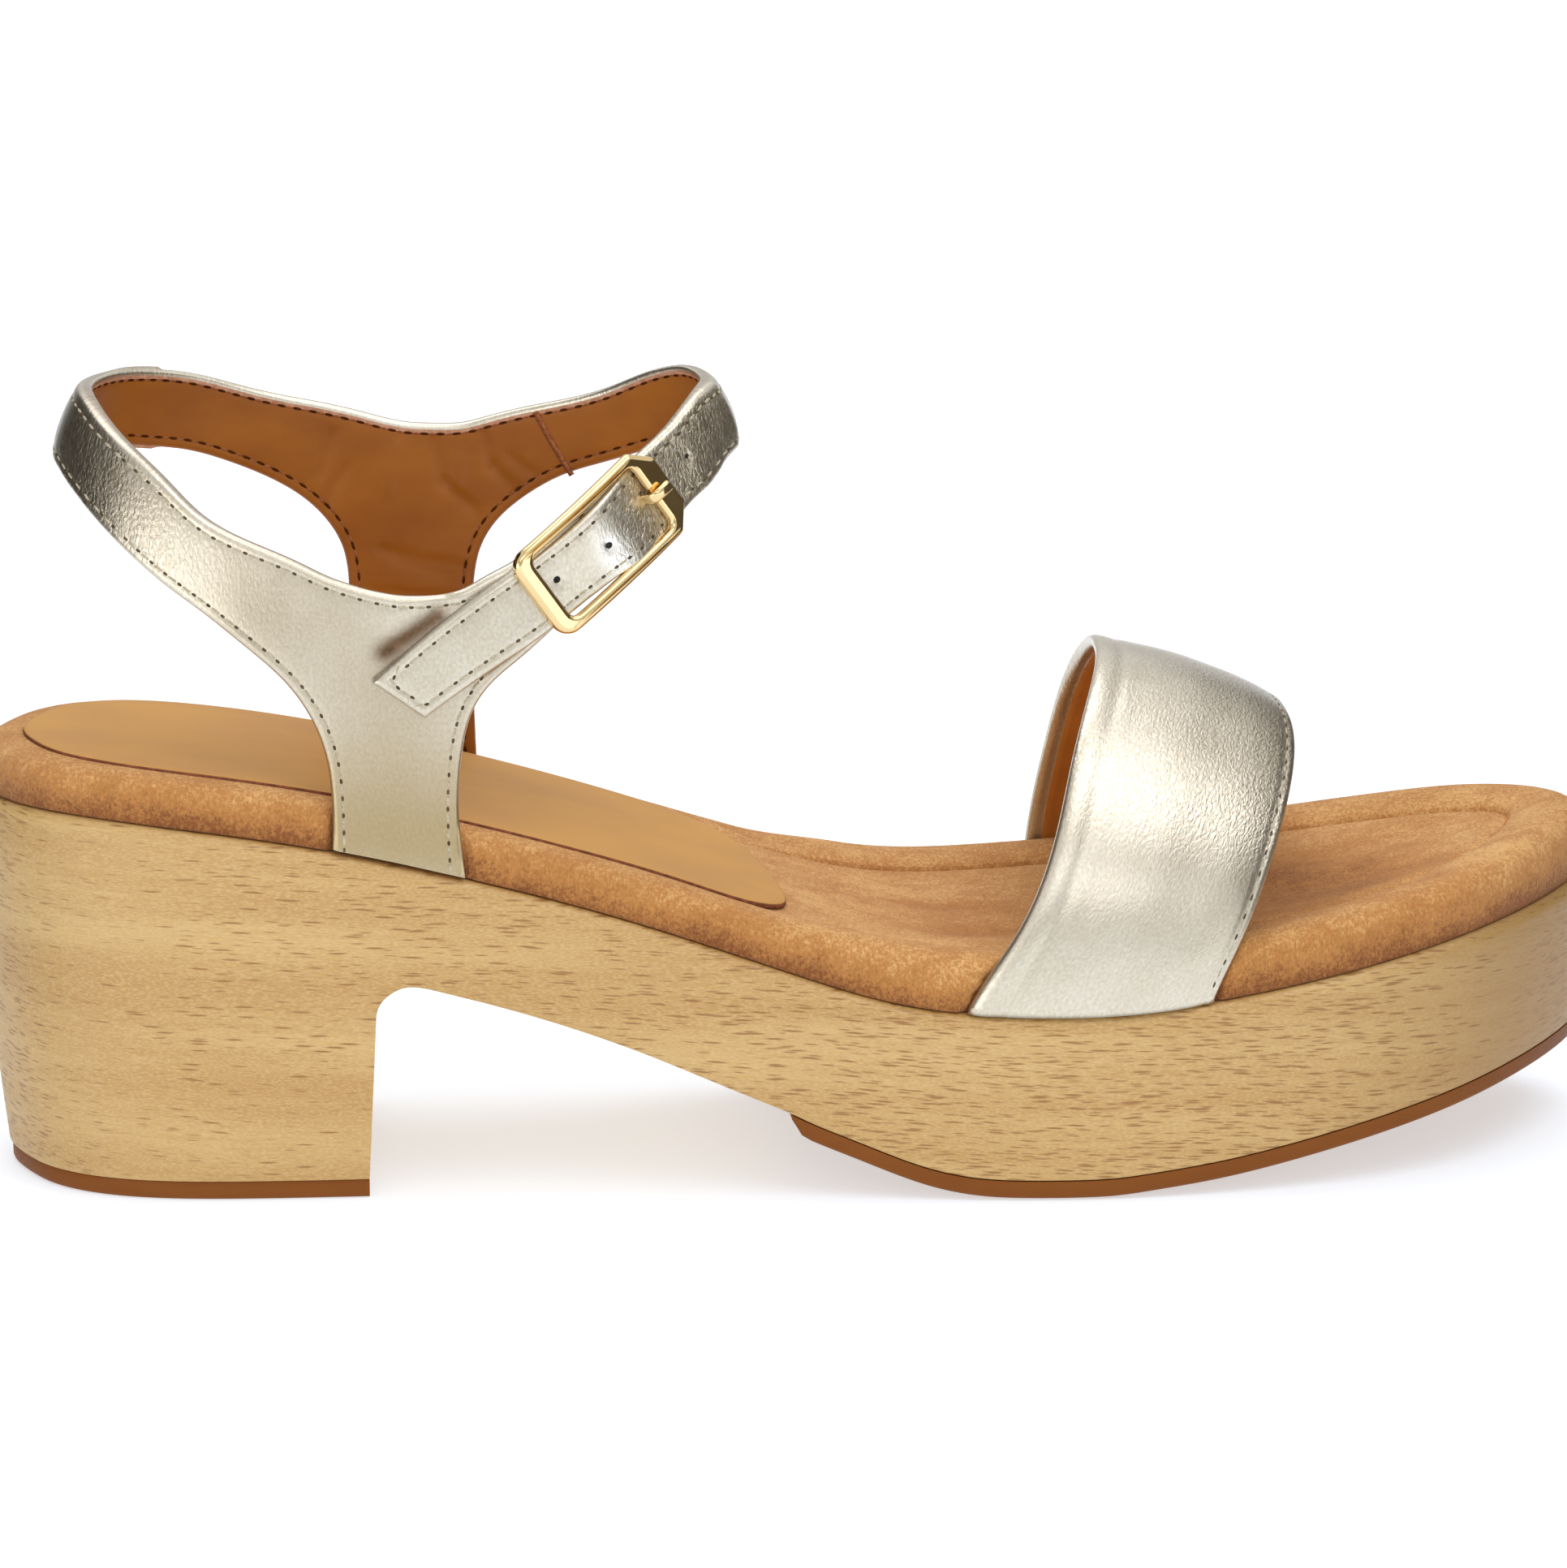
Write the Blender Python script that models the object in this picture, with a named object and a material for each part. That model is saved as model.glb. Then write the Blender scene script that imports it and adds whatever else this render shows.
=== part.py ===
"""Platform sandal for the right foot: wood block, rubber soles, suede bed, pad, straps and buckle.

Sizes are in millimetres in the shoe's own axes: x runs from the back of the heel to the toe, y from the outer
side (minus) to the inner side (plus), z up from the floor. Meshes are written in metres about ORIGIN.
"""

import math

import bmesh
import bpy
import numpy as np
from mathutils import Matrix

MM = 0.001
ORIGIN = np.array((124.7, 0.2, 0.0))
GAP = 0.3

# Wood block: outline of its top edge seen from above, as (x, y), from the back of the heel round the outer side
SOLE_OUTLINE = [
    (0, 0.5), (2, -8), (7, -17.6), (14, -24), (25, -28.6), (40, -30.6), (60, -31.2), (95, -32), (130, -37),
    (160, -41), (190, -39.5), (210, -35.2), (222, -30), (233, -21), (241.5, -10.2), (246.8, -0.5), (249, 8),
    (247.6, 16.5), (241.5, 24.2), (225, 32.8), (200, 40), (175, 41.6), (140, 36), (100, 30.4), (60, 31.2), (40, 31.6),
    (25, 30.2), (14, 26), (7, 19.6), (2, 9.6),
]
# Height of the wood's top, as (x, z)
WOOD_TOP = [
    (-2, 58.4), (11, 58.6), (28, 57.3), (52, 53.6), (72, 49), (99, 41.2), (122, 33.6), (135, 30), (146, 28.6),
    (158, 28.3), (170, 28.6), (182, 29.8), (207, 33.7), (228, 37.4), (240, 38.6), (252, 39.2),
]
# Height of the wood's underside in the arch, as (x, z), from the heel breast to the outsole's rear edge
ARCH = [
    (59, 28.5), (59.5, 31), (61, 32.5), (63.5, 33), (68, 32.2), (75, 30.2), (87, 26.3), (99, 21.7), (110, 17),
    (119, 13.2),
]
# Height of the outsole's underside, as (x, z); what falls below the floor is the flat spot
TREAD = [
    (116, 12), (119, 10.3), (128.6, 6.1), (134.5, 3.7), (140, 1.8), (146, 0.5), (151, -0.1), (158, -0.4),
    (166, -0.1), (172, 0.7), (183, 2.2), (195, 4.4), (208, 7.1), (222, 10), (236, 12.2), (252, 13.2),
]
OUTSOLE_REAR = 119.5
ARCH_BLEND = 4.0
RUBBER = 2.6
BREAST_FOOT = 57.6
BREAST_TOP = 58.9
HEEL_DRAFT = 4.7
HEEL_DRAFT_POWER = 1.55
FOREFOOT_DRAFT = 2.3
HEEL_FULL_X = 60.0
FOREFOOT_FULL_X = 112.0
TOP_CHAMFER = 0.8
WALL_LEVELS = (0, 0.2, 0.45, 0.7, 1)
BREAST_STATIONS = (BREAST_FOOT, 58, 58.5, BREAST_TOP, 59.5, 61, 63.5, 66.5)
STATION_ROOM = 1.5
# Rounding of a rubber edge at the floor, as (inset, height)
RUBBER_EDGE = ((0.8, 0), (0.1, 0.7))
OUTSOLE_TAPER = 2.0
OUTSOLE_THIN = 0.7

# Footbed section from its edge inwards: inset from the wood's edge, height at the heel, height at the forefoot
BED_SECTION = [
    (1.3, 0, 0), (0.8, 2.4, 2.6), (1.0, 4.2, 5.2), (2.1, 5.6, 7.1), (4, 6.3, 8.1), (7, 6.5, 8.3), (10.5, 6.5, 7.8),
    (12.8, 6.5, 6.9), (13.6, 6.5, 6.5), (15.5, 6.5, 6.7),
]
BED_MIDDLE = (6.5, 6.2)
BED_MIDDLE_LENGTH = 0.93
BED_MIDDLE_WIDTH = 0.7
BED_BLEND = (117, 133)
BED_TOE_RISE = 0.1
BED_TOE_FROM = 214.0

# Heel pad seen from above, as (x, y)
PAD_OUTLINE = [
    (8, 1), (9.6, -7), (14, -15.4), (22, -21), (36, -23.8), (60, -24.4), (88, -25), (106, -26), (115.5, -26),
    (119.5, -22), (120.6, -14), (120, -4), (118.2, 6), (115.4, 15), (110, 21), (98, 23.6), (60, 24.6), (36, 25),
    (22, 22.8), (14, 17.4), (9.6, 9.2),
]
PAD_THICKNESS = 1.1
# Rounding of the pad's upper edge, as (drawn in, below the top)
PAD_EDGE = ((0, 0.4), (0.5, 0))

# Toe strap: angle round the arch from the outer foot, then x of the rear edge and of the front edge
TOE_ROWS = [
    (-10, 141, 178.5), (0, 145, 181.5), (10, 151, 185), (25, 157, 189.3), (45, 161.2, 193.7), (65, 165.3, 197),
    (90, 169.3, 199), (115, 169.8, 199.7), (135, 168.6, 199.6), (155, 166.8, 199), (170, 165, 198.2),
    (180, 164, 197.5), (190, 163, 196.5),
]
TOE_REAR_RISE = 47.6
TOE_FRONT_RISE = 33.2
TOE_ROUNDNESS = 0.87
TOE_THICKNESS = 2.4
TOE_CROWN = 1.3
TOE_EDGE_INSET = 0.2
# Notches in the footbed for the straps' feet: how far they reach past the leather, outward and beside its edges
NOTCH_REACH = 5.0
TOE_NOTCH_SHARES = (-0.012, 1.012)
TOE_NOTCHES = {"toe_notch_outer": (-8, 40), "toe_notch_inner": (140, 188)}

# Ankle loop seen from above at LOOP_HEIGHT, as (x, y), from the back round the outer side; outer face of the leather
ANKLE_LOOP = [
    (15, 0), (17.2, -8.5), (24, -16.8), (36, -22.8), (50, -25.7), (64, -26.3), (78, -25.4), (91, -20.6),
    (104, -15.2), (111, -9.5), (114, 0), (111, 10), (104, 16.5), (92, 22.5), (78, 25.8), (64, 26.4), (50, 25.8),
    (36, 23), (24, 17), (17.2, 8.5),
]
LOOP_HEIGHT = 112.0
LEAN_SIDES = 0.08
LEAN_ENDS = 0.42
LEAN_POWER = 1.5
STRAP_THICKNESS = 1.8
# Notches in the footbed for the posts, as travel from edge to edge, and their heights
POST_NOTCHES = {"post_notch_outer": (-69.9, -50.3), "post_notch_inner": (54.8, 75)}
POST_NOTCH_HEIGHTS = (44, 70)

# Ankle upper, a row for each line across it: travel along the loop and height of its lower edge, then of its upper
# edge. Travel starts at the back of the heel, less than nothing on the outer side, and runs round by the inner side.
UPPER_ROWS = [
    # outer arm under the buckle, then the outer post
    (-95.2, 96.1, -89.6, 104.3), (-88, 90.6, -83, 99.6), (-81.7, 85.2, -77.5, 95.5), (-77, 81.3, -73.2, 93.3),
    (-73, 77.5, -70, 91.6), (-70.8, 74, -67.5, 90.9), (-69.3, 68.5, -65, 90.7), (-68.6, 60, -63, 90.7),
    (-69.3, 49.6, -61, 90.8), (-60, 52, -58.5, 91.2), (-50.8, 54.1, -56, 91.8), (-50.8, 61, -53.5, 92.6),
    (-50.2, 67, -51, 93.5), (-48.2, 73, -48.5, 94.7), (-44.5, 78.6, -45, 96.4),
    # sling round the heel
    (-38.8, 83.9, -38.7, 99), (-33.1, 88.5, -32.6, 102.2), (-27.2, 92.7, -26.5, 107.3), (-20.8, 97.8, -19.7, 111.8),
    (-12.8, 103.6, -12.6, 115.3), (-6.3, 106.6, -6, 117.3), (0, 107.8, 0, 117.9), (7, 107.7, 7, 118.2),
    (14, 107.1, 14, 118.2), (23.7, 105.7, 23.5, 117.5), (30.5, 104.5, 32, 116), (37, 102.3, 39.5, 113.7),
    # inner post
    (43, 99.6, 45.7, 112), (48.7, 96, 52, 110.6), (52.5, 92, 56, 109.6), (54.6, 88, 58.5, 108.9),
    (55.5, 82, 60.5, 108.3), (55.6, 66, 62.5, 107.8), (55.4, 52.9, 64.5, 107.4), (65, 51, 67, 107.2),
    (74.4, 48.3, 69.5, 107.1), (74, 64, 71.5, 107.1), (74.3, 82, 73.5, 107.3), (75.3, 87.2, 75.5, 107.8),
    (77.5, 91.3, 78, 108.5), (82.5, 95.9, 82.7, 109.7), (88.6, 99.4, 89, 111.1),
    # strap round the front of the ankle, then down the outer side to its free end
    (95.3, 101.7, 96, 113.2), (103, 104.3, 103.4, 116.2), (112, 106.7, 112, 118.1), (123.5, 107.8, 123.5, 117.8),
    (131.4, 106.9, 131.6, 117.6), (137.4, 103.9, 137.2, 116.3), (142.2, 101.5, 144, 112.3),
    (146.3, 98.6, 152.3, 107.5), (154.3, 94, 159.9, 102.1), (164, 87, 170.1, 94.5), (173.5, 80.2, 180.3, 86.8),
    (182.4, 73.6, 189.8, 78.9),
]
# How far the strap's outer face stands off the loop, by the travel of its middle line: over the buckle's centre bar,
# then over the outer arm
STRAP_LIFT = [
    (138, 0), (143, 0.4), (147.5, 1.2), (150.5, 1.9), (153.5, 3.4), (157.4, 4.3), (161.5, 3.6), (166, 2.3),
    (171, 2.1), (200, 2.1),
]

# Buckle: its middle on the loop, its slope, and its sizes along and across the strap
BUCKLE_TRAVEL = 156.9
BUCKLE_HEIGHT = 97.7
BUCKLE_SLOPE_DEG = 34.5
BUCKLE_REAR = 14.2
BUCKLE_FRONT = 13.9
BUCKLE_HALF_WIDTH = 7.4
BUCKLE_REAR_RADIUS = 2.8
BUCKLE_FRONT_CHAMFER = 3.3
WINDOW_REAR = 11.3
WINDOW_FRONT = 10.0
WINDOW_HALF_WIDTH = 5.5
WINDOW_RADIUS = 1.2
BUCKLE_BASE = 2.6
BUCKLE_THICKNESS = 1.9
BUCKLE_CHAMFER = 0.5
CUTTER_ROOM = 1.0
BAR_HALF = 0.7
BAR_LIFT = 1.2
BAR_LEG_INSET = 0.25
PRONG_WIDTH = 2.0
# Prong's middle line, as (along the strap, away from the foot)
PRONG_LINE = [(2.6, 1.2), (5.4, 1.4), (7.4, 3), (8.8, 5.1), (10.4, 5.6), (12.9, 5.5)]
PRONG_RING = 2.1
PRONG_RING_HOLE = 1.3
PRONG_HOOK_DEG = (330, 20)
PRONG_SLOT = (-2.6, 9.6)
PRONG_SLOT_HALF_WIDTH = 1.4
PRONG_SLOT_DEPTH = 8.0

# Counts of stations and columns, which set how fine the facets are
PLATFORM_STATIONS = 42
LIFT_STATIONS = 17
OUTSOLE_STATIONS = 27
BED_STATIONS = 40
PAD_STATIONS = 64
TOE_ANGLES = [(0, 24, 7), (34, 146, 13), (156, 180, 7)]
TOE_SHARES = 7
UPPER_COLUMNS = 132
UPPER_ACROSS = 5

COLOURS = {
    "beech": (0.66, 0.45, 0.20),
    "rubber": (0.29, 0.12, 0.06),
    "suede": (0.55, 0.27, 0.10),
    "pad_leather": (0.55, 0.31, 0.12),
    "metallic_leather": (0.60, 0.52, 0.40),
    "gold": (0.83, 0.64, 0.30),
}


# Curves

def spline(knots, values, at):
    """Natural cubic curve through the values at the knots."""
    knots, values, at = (np.asarray(a, float) for a in (knots, values, at))
    gaps = np.diff(knots)
    slopes = np.diff(values) / gaps
    system = np.eye(len(knots))
    wanted = np.zeros(len(knots))
    for k in range(1, len(knots) - 1):
        system[k, k - 1:k + 2] = gaps[k - 1], 2 * (gaps[k - 1] + gaps[k]), gaps[k]
        wanted[k] = 6 * (slopes[k] - slopes[k - 1])
    bend = np.linalg.solve(system, wanted)
    k = np.clip(np.searchsorted(knots, at) - 1, 0, len(knots) - 2)
    a = (knots[k + 1] - at) / gaps[k]
    b = 1 - a
    curved = ((a**3 - a) * bend[k] + (b**3 - b) * bend[k + 1]) * gaps[k]**2 / 6
    return a * values[k] + b * values[k + 1] + curved


def table_curve(rows, at, column=1):
    """A column of a table as a smooth function of its first column."""
    rows = np.array(rows, float)
    return spline(rows[:, 0], rows[:, column], at)


def along_points(points):
    """Distance travelled at each point of a line."""
    steps = np.linalg.norm(np.diff(points, axis=0), axis=1)
    return np.concatenate([[0], np.cumsum(steps)])


def closed_curve(points, count, wrap=4):
    """Evenly spaced points on a smooth closed curve through the table's points; the last repeats the first."""
    ring = np.array(points[-wrap:] + points + points[:wrap + 1], float)
    along = along_points(ring)
    at = np.linspace(along[wrap], along[wrap + len(points)], count + 1)
    return np.stack([spline(along, ring[:, k], at) for k in range(2)], axis=1)


def smoothstep(low, high, x):
    t = np.clip((x - low) / (high - low), 0, 1)
    return t * t * (3 - 2 * t)


# Sole

class Outline:
    """The sole's plan outline as two sides, each from heel to toe, with inward directions."""

    def __init__(self, points, count=1440):
        dense = closed_curve(points, count)
        tip = int(np.argmax(dense[:, 0]))
        self.length = dense[tip, 0]
        outer, inner = dense[:tip + 1], dense[tip:][::-1]
        self.sides = {-1: outer, 1: inner}
        self.inward = {s: self.directions(self.sides[s], s) for s in (-1, 1)}

    @staticmethod
    def directions(line, side):
        step = np.gradient(line, axis=0)
        step /= np.linalg.norm(step, axis=1)[:, None]
        inward = np.stack([step[:, 1], -step[:, 0]], axis=1) * side
        inward[0] = (1, 0)
        inward[-1] = (-1, 0)
        return inward

    def y(self, xs, side):
        line = self.sides[side]
        return np.interp(xs, line[:, 0], line[:, 1])

    def side_points(self, xs, side, inset):
        line, inward = self.sides[side], self.inward[side]
        points = np.stack([xs, self.y(xs, side)], axis=1)
        turn = np.stack([np.interp(xs, line[:, 0], inward[:, k]) for k in range(2)], axis=1)
        turn /= np.linalg.norm(turn, axis=1)[:, None]
        return points + turn * np.broadcast_to(inset, len(xs))[:, None]


OUTLINE = Outline(SOLE_OUTLINE)


class Stations:
    """Matched stations down both sides of the sole; a side that isn't open closes in a single point."""

    def __init__(self, xs, rear_open=False, front_open=False):
        self.xs = np.array(xs, float)
        last = len(self.xs) - 1
        back = list(range(last, -1, -1))
        back = back if front_open else back[1:]
        back = back if rear_open else back[:-1]
        self.order = [(k, -1) for k in range(last + 1)] + [(k, 1) for k in back]
        where = {key: j for j, key in enumerate(self.order)}
        self.pairs = [(where[k, -1], where.get((k, 1), where[k, -1])) for k in range(last + 1)]

    def ring(self, inset, height):
        """Points of a ring: inset and height are functions of x along the outline."""
        insets = np.broadcast_to(inset(self.xs), len(self.xs))
        heights = np.broadcast_to(height(self.xs), len(self.xs))
        flat = {s: OUTLINE.side_points(self.xs, s, insets) for s in (-1, 1)}
        return np.array([(*flat[s][k], heights[k]) for k, s in self.order])


def cosine_steps(low, high, count):
    return low + (high - low) * (1 - np.cos(np.linspace(0, math.pi, count))) / 2


def wood_top(x):
    return table_curve(WOOD_TOP, x)


def tread(x):
    return np.maximum(table_curve(TREAD, x), 0)


def wood_bottom(x):
    """Underside of the wood: heel seat, breast, arch, then the forefoot above the outsole."""
    seat = RUBBER + GAP
    breast = np.interp(x, (BREAST_FOOT, BREAST_TOP), (seat, ARCH[0][1]))
    arch = table_curve(ARCH + [(x0, z0 + seat) for x0, z0 in TREAD[2:5]], x)
    forefoot = tread(x) + seat
    mix = smoothstep(OUTSOLE_REAR - ARCH_BLEND, OUTSOLE_REAR + ARCH_BLEND, x)
    return np.where(x <= BREAST_TOP, breast, arch * (1 - mix) + forefoot * mix)


def wall_inset(x, z):
    """How far the side of the sole stands in from its top edge at height z."""
    top = wood_top(x)
    down = np.clip((top - z) / top, 0, 1)
    heel = HEEL_DRAFT * down**HEEL_DRAFT_POWER
    return heel + (FOREFOOT_DRAFT * down - heel) * smoothstep(HEEL_FULL_X, FOREFOOT_FULL_X, x)


def bed_blend(heel, fore, x):
    """Height of the footbed above the wood, from its heights at the heel and at the forefoot."""
    rise = 1 + BED_TOE_RISE * smoothstep(BED_TOE_FROM, OUTLINE.length, x)
    return (heel + (fore - heel) * smoothstep(*BED_BLEND, x)) * rise


# Meshes

def new_material(name):
    material = bpy.data.materials.get(name)
    if material is None:
        material = bpy.data.materials.new(name)
        material.use_nodes = True
        shader = material.node_tree.nodes["Principled BSDF"]
        shader.inputs["Base Color"].default_value = (*COLOURS[name], 1)
        shader.inputs["Metallic"].default_value = 1.0 if name == "gold" else 0.0
        shader.inputs["Roughness"].default_value = 0.25 if name == "gold" else 0.6
    return material


def new_solid(name, points, faces, material, origin=ORIGIN):
    """A closed mesh object in metres with its faces turned outward."""
    mesh = bpy.data.meshes.new(name)
    mesh.from_pydata([tuple(p) for p in (np.array(points) - origin) * MM], [], faces)
    work = bmesh.new()
    work.from_mesh(mesh)
    bmesh.ops.recalc_face_normals(work, faces=work.faces)
    work.to_mesh(mesh)
    work.free()
    obj = bpy.data.objects.new(name, mesh)
    bpy.context.scene.collection.objects.link(obj)
    mesh.materials.append(new_material(material))
    return obj


def ring_solid(name, rings, pairs, material):
    """Skins closed rings one above another and closes the first and the last with strips between paired points."""
    count = len(rings[0])
    faces = []
    for level in range(len(rings) - 1):
        low, high = level * count, (level + 1) * count
        for j in range(count):
            k = (j + 1) % count
            faces.append((low + j, low + k, high + k, high + j))
    for base in (0, (len(rings) - 1) * count):
        for (a, b), (c, d) in zip(pairs, pairs[1:]):
            corners = dict.fromkeys((a, c, d, b))
            faces.append(tuple(base + corner for corner in corners))
    return new_solid(name, np.concatenate(rings), faces, material)


def sheet_solid(name, outer, inner, material):
    """Closes two matching grids of points into a solid sheet."""
    columns, rows = outer.shape[:2]
    shift = columns * rows
    faces = []
    for c in range(columns - 1):
        for r in range(rows - 1):
            quad = (c * rows + r, (c + 1) * rows + r, (c + 1) * rows + r + 1, c * rows + r + 1)
            faces.append(quad)
            faces.append(tuple(shift + v for v in reversed(quad)))
    border = [c * rows for c in range(columns)]
    border += [(columns - 1) * rows + r for r in range(1, rows)]
    border += [c * rows + rows - 1 for c in range(columns - 2, -1, -1)]
    border += [r for r in range(rows - 2, 0, -1)]
    for a, b in zip(border, border[1:] + border[:1]):
        faces.append((a, b, shift + b, shift + a))
    points = np.concatenate([outer.reshape(-1, 3), inner.reshape(-1, 3)])
    return new_solid(name, points, faces, material)


def cut(target, cutter, operation="DIFFERENCE"):
    cutter.hide_render = True
    cutter.display_type = "WIRE"
    modifier = target.modifiers.new(cutter.name, "BOOLEAN")
    modifier.operation = operation
    modifier.solver = "EXACT"
    modifier.object = cutter


# Pieces of the sole

def build_platform():
    low, high = BREAST_STATIONS[0] - STATION_ROOM, BREAST_STATIONS[-1] + STATION_ROOM
    steps = [x for x in cosine_steps(0, OUTLINE.length, PLATFORM_STATIONS) if not low < x < high]
    stations = Stations(sorted([*steps, *BREAST_STATIONS]))

    def level(share):
        return lambda x: wood_bottom(x) + (wood_top(x) - TOP_CHAMFER - wood_bottom(x)) * share

    rings = [stations.ring(lambda x, z=level(s): wall_inset(x, z(x)), level(s)) for s in WALL_LEVELS]
    rings.append(stations.ring(lambda x: TOP_CHAMFER, wood_top))
    return ring_solid("platform", rings, stations.pairs, "beech")


def build_heel_lift():
    xs = cosine_steps(0, 2 * BREAST_FOOT, 2 * LIFT_STATIONS - 1)[:LIFT_STATIONS]
    stations = Stations(xs, front_open=True)
    rings = [
        stations.ring(lambda x, i=inset: wall_inset(x, 0) + i, lambda x, z=height: z)
        for inset, height in (*RUBBER_EDGE, (0, RUBBER))
    ]
    return ring_solid("heel_lift", rings, stations.pairs, "rubber")


def build_outsole():
    span = OUTLINE.length - OUTSOLE_REAR
    xs = OUTSOLE_REAR + span * np.sin(np.linspace(0, math.pi / 2, OUTSOLE_STATIONS))
    stations = Stations(np.sort([*xs, OUTSOLE_REAR + OUTSOLE_TAPER]), rear_open=True)

    def top(x):
        return np.minimum(tread(x) + RUBBER, wood_bottom(x) - GAP)

    def edge(x, height):
        """A level of the rounded floor edge, thinned away at the rear end."""
        thin = np.clip((OUTSOLE_REAR + OUTSOLE_TAPER - x) / OUTSOLE_TAPER, 0, 1)
        level = tread(x) + height
        return level + thin * OUTSOLE_THIN * (top(x) - level)

    rings = [
        stations.ring(lambda x, i=inset, h=h: wall_inset(x, edge(x, h)) + i, lambda x, h=h: edge(x, h))
        for inset, h in RUBBER_EDGE
    ]
    rings.append(stations.ring(lambda x: wall_inset(x, top(x)), top))
    return ring_solid("outsole", rings, stations.pairs, "rubber")


def build_footbed():
    stations = Stations(cosine_steps(0, OUTLINE.length, BED_STATIONS))
    rings = []
    for inset, heel, fore in BED_SECTION:
        plan = stations.ring(lambda x, i=inset: i, wood_top)
        x = plan[:, 0]
        plan[:, 2] = wood_top(x) + GAP + bed_blend(heel, fore, x)
        rings.append(plan)
    rings.append(bed_middle(rings[-1], stations.pairs))
    return ring_solid("footbed", rings, stations.pairs, "suede")


def bed_middle(ring, pairs):
    """The footbed's innermost ring: the one round it, drawn in toward the middle."""
    drawn = ring.copy()
    centre = (ring[:, 0].max() + ring[:, 0].min()) / 2
    drawn[:, 0] = centre + (ring[:, 0] - centre) * BED_MIDDLE_LENGTH
    for a, b in pairs:
        middle = (ring[a, 1] + ring[b, 1]) / 2
        drawn[[a, b], 1] = middle + (ring[[a, b], 1] - middle) * BED_MIDDLE_WIDTH
    x = drawn[:, 0]
    drawn[:, 2] = wood_top(x) + GAP + bed_blend(*BED_MIDDLE, x)
    return drawn


def build_heel_pad():
    count = PAD_STATIONS
    plan = closed_curve(PAD_OUTLINE, count)[:-1]
    middle = plan.mean(axis=0)
    pairs = [(j, (count - j) % count) for j in range(count // 2 + 1)]
    rings = []
    toward = middle - plan
    toward /= np.linalg.norm(toward, axis=1)[:, None]
    for shrink, below in ((0, PAD_THICKNESS), *PAD_EDGE):
        ring = plan + toward * shrink
        x = ring[:, 0]
        z = wood_top(x) + BED_MIDDLE[0] + 2 * GAP + PAD_THICKNESS - below
        rings.append(np.column_stack([ring, z]))
    return ring_solid("heel_pad", rings, pairs, "pad_leather")


# Toe strap

def toe_point(angle_deg, share, stand_off):
    """A point of the toe strap: angle round the arch, share from rear to front edge, distance off its outer face."""
    rear = table_curve(TOE_ROWS, angle_deg, 1)
    front = table_curve(TOE_ROWS, angle_deg, 2)
    x = rear + (front - rear) * share
    rise = TOE_REAR_RISE + (TOE_FRONT_RISE - TOE_REAR_RISE) * share + TOE_CROWN * 4 * share * (1 - share)
    turn = math.radians(angle_deg)
    across, up = math.cos(turn), math.sin(turn)
    side = OUTLINE.y(x, -1) + TOE_EDGE_INSET if across > 0 else OUTLINE.y(x, 1) - TOE_EDGE_INSET
    half = abs(side)
    y = math.copysign(abs(across)**TOE_ROUNDNESS, across) * -1
    z = math.copysign(abs(up)**TOE_ROUNDNESS, up)
    outward = np.array((y / half, z / rise))
    outward /= np.linalg.norm(outward)
    yz = np.array((y * half, wood_top(x) + GAP + z * rise)) + outward * stand_off
    return (x, *yz)


def toe_grid(angles, shares, stand_off):
    return np.array([[toe_point(a, s, stand_off) for s in shares] for a in angles])


def build_toe_strap():
    angles = np.concatenate([np.linspace(*span) for span in TOE_ANGLES])
    shares = np.linspace(0, 1, TOE_SHARES)
    return sheet_solid(
        "toe_strap", toe_grid(angles, shares, 0), toe_grid(angles, shares, -TOE_THICKNESS), "metallic_leather"
    )


def cut_toe_feet(footbed):
    shares = np.linspace(*TOE_NOTCH_SHARES, TOE_SHARES)
    for name, angle_span in TOE_NOTCHES.items():
        angles = np.linspace(*angle_span, 11)
        outer = toe_grid(angles, shares, NOTCH_REACH)
        inner = toe_grid(angles, shares, -TOE_THICKNESS - GAP)
        cut(footbed, sheet_solid(name, outer, inner, "suede"))


# Ankle upper

class Loop:
    """The ankle's outer surface: a closed curve at one height, leaning in as it rises."""

    def __init__(self, points, count=1200):
        dense = closed_curve(points, count)[::-1]
        self.points = dense
        self.along = along_points(dense)
        step = np.gradient(dense, axis=0)
        step /= np.linalg.norm(step, axis=1)[:, None]
        self.outward = np.stack([-step[:, 1], step[:, 0]], axis=1)

    def at(self, travel, height, stand_off=0.0):
        """The point at a travel round the loop and a height, a distance off the surface."""
        travel = np.mod(travel, self.along[-1])
        place = np.array([np.interp(travel, self.along, self.points[:, k]) for k in range(2)])
        turn = np.array([np.interp(travel, self.along, self.outward[:, k]) for k in range(2)])
        turn /= np.linalg.norm(turn)
        lean = LEAN_SIDES + (LEAN_ENDS - LEAN_SIDES) * abs(turn[0])**LEAN_POWER
        return np.array((*(place + turn * (lean * (LOOP_HEIGHT - height) + stand_off)), height))


ANKLE = Loop(ANKLE_LOOP)


def strap_lift(travel):
    return np.interp(travel, *np.array(STRAP_LIFT).T)


def upper_grid(columns, across, depth):
    """Points of the ankle upper at a depth below its outer face."""
    rows = np.array(UPPER_ROWS)
    knots = along_points(rows[:, [0, 1]]) + along_points(rows[:, [2, 3]])
    at = np.linspace(knots[0], knots[-1], columns)
    low_t, low_z, top_t, top_z = (np.interp(at, knots, rows[:, k]) for k in range(4))
    stand_off = strap_lift((low_t + top_t) / 2) - depth
    grid = np.empty((columns, across, 3))
    for r, share in enumerate(np.linspace(0, 1, across)):
        travel = low_t + (top_t - low_t) * share
        height = low_z + (top_z - low_z) * share
        for c in range(columns):
            grid[c, r] = ANKLE.at(travel[c], height[c], stand_off[c])
    return grid


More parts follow.
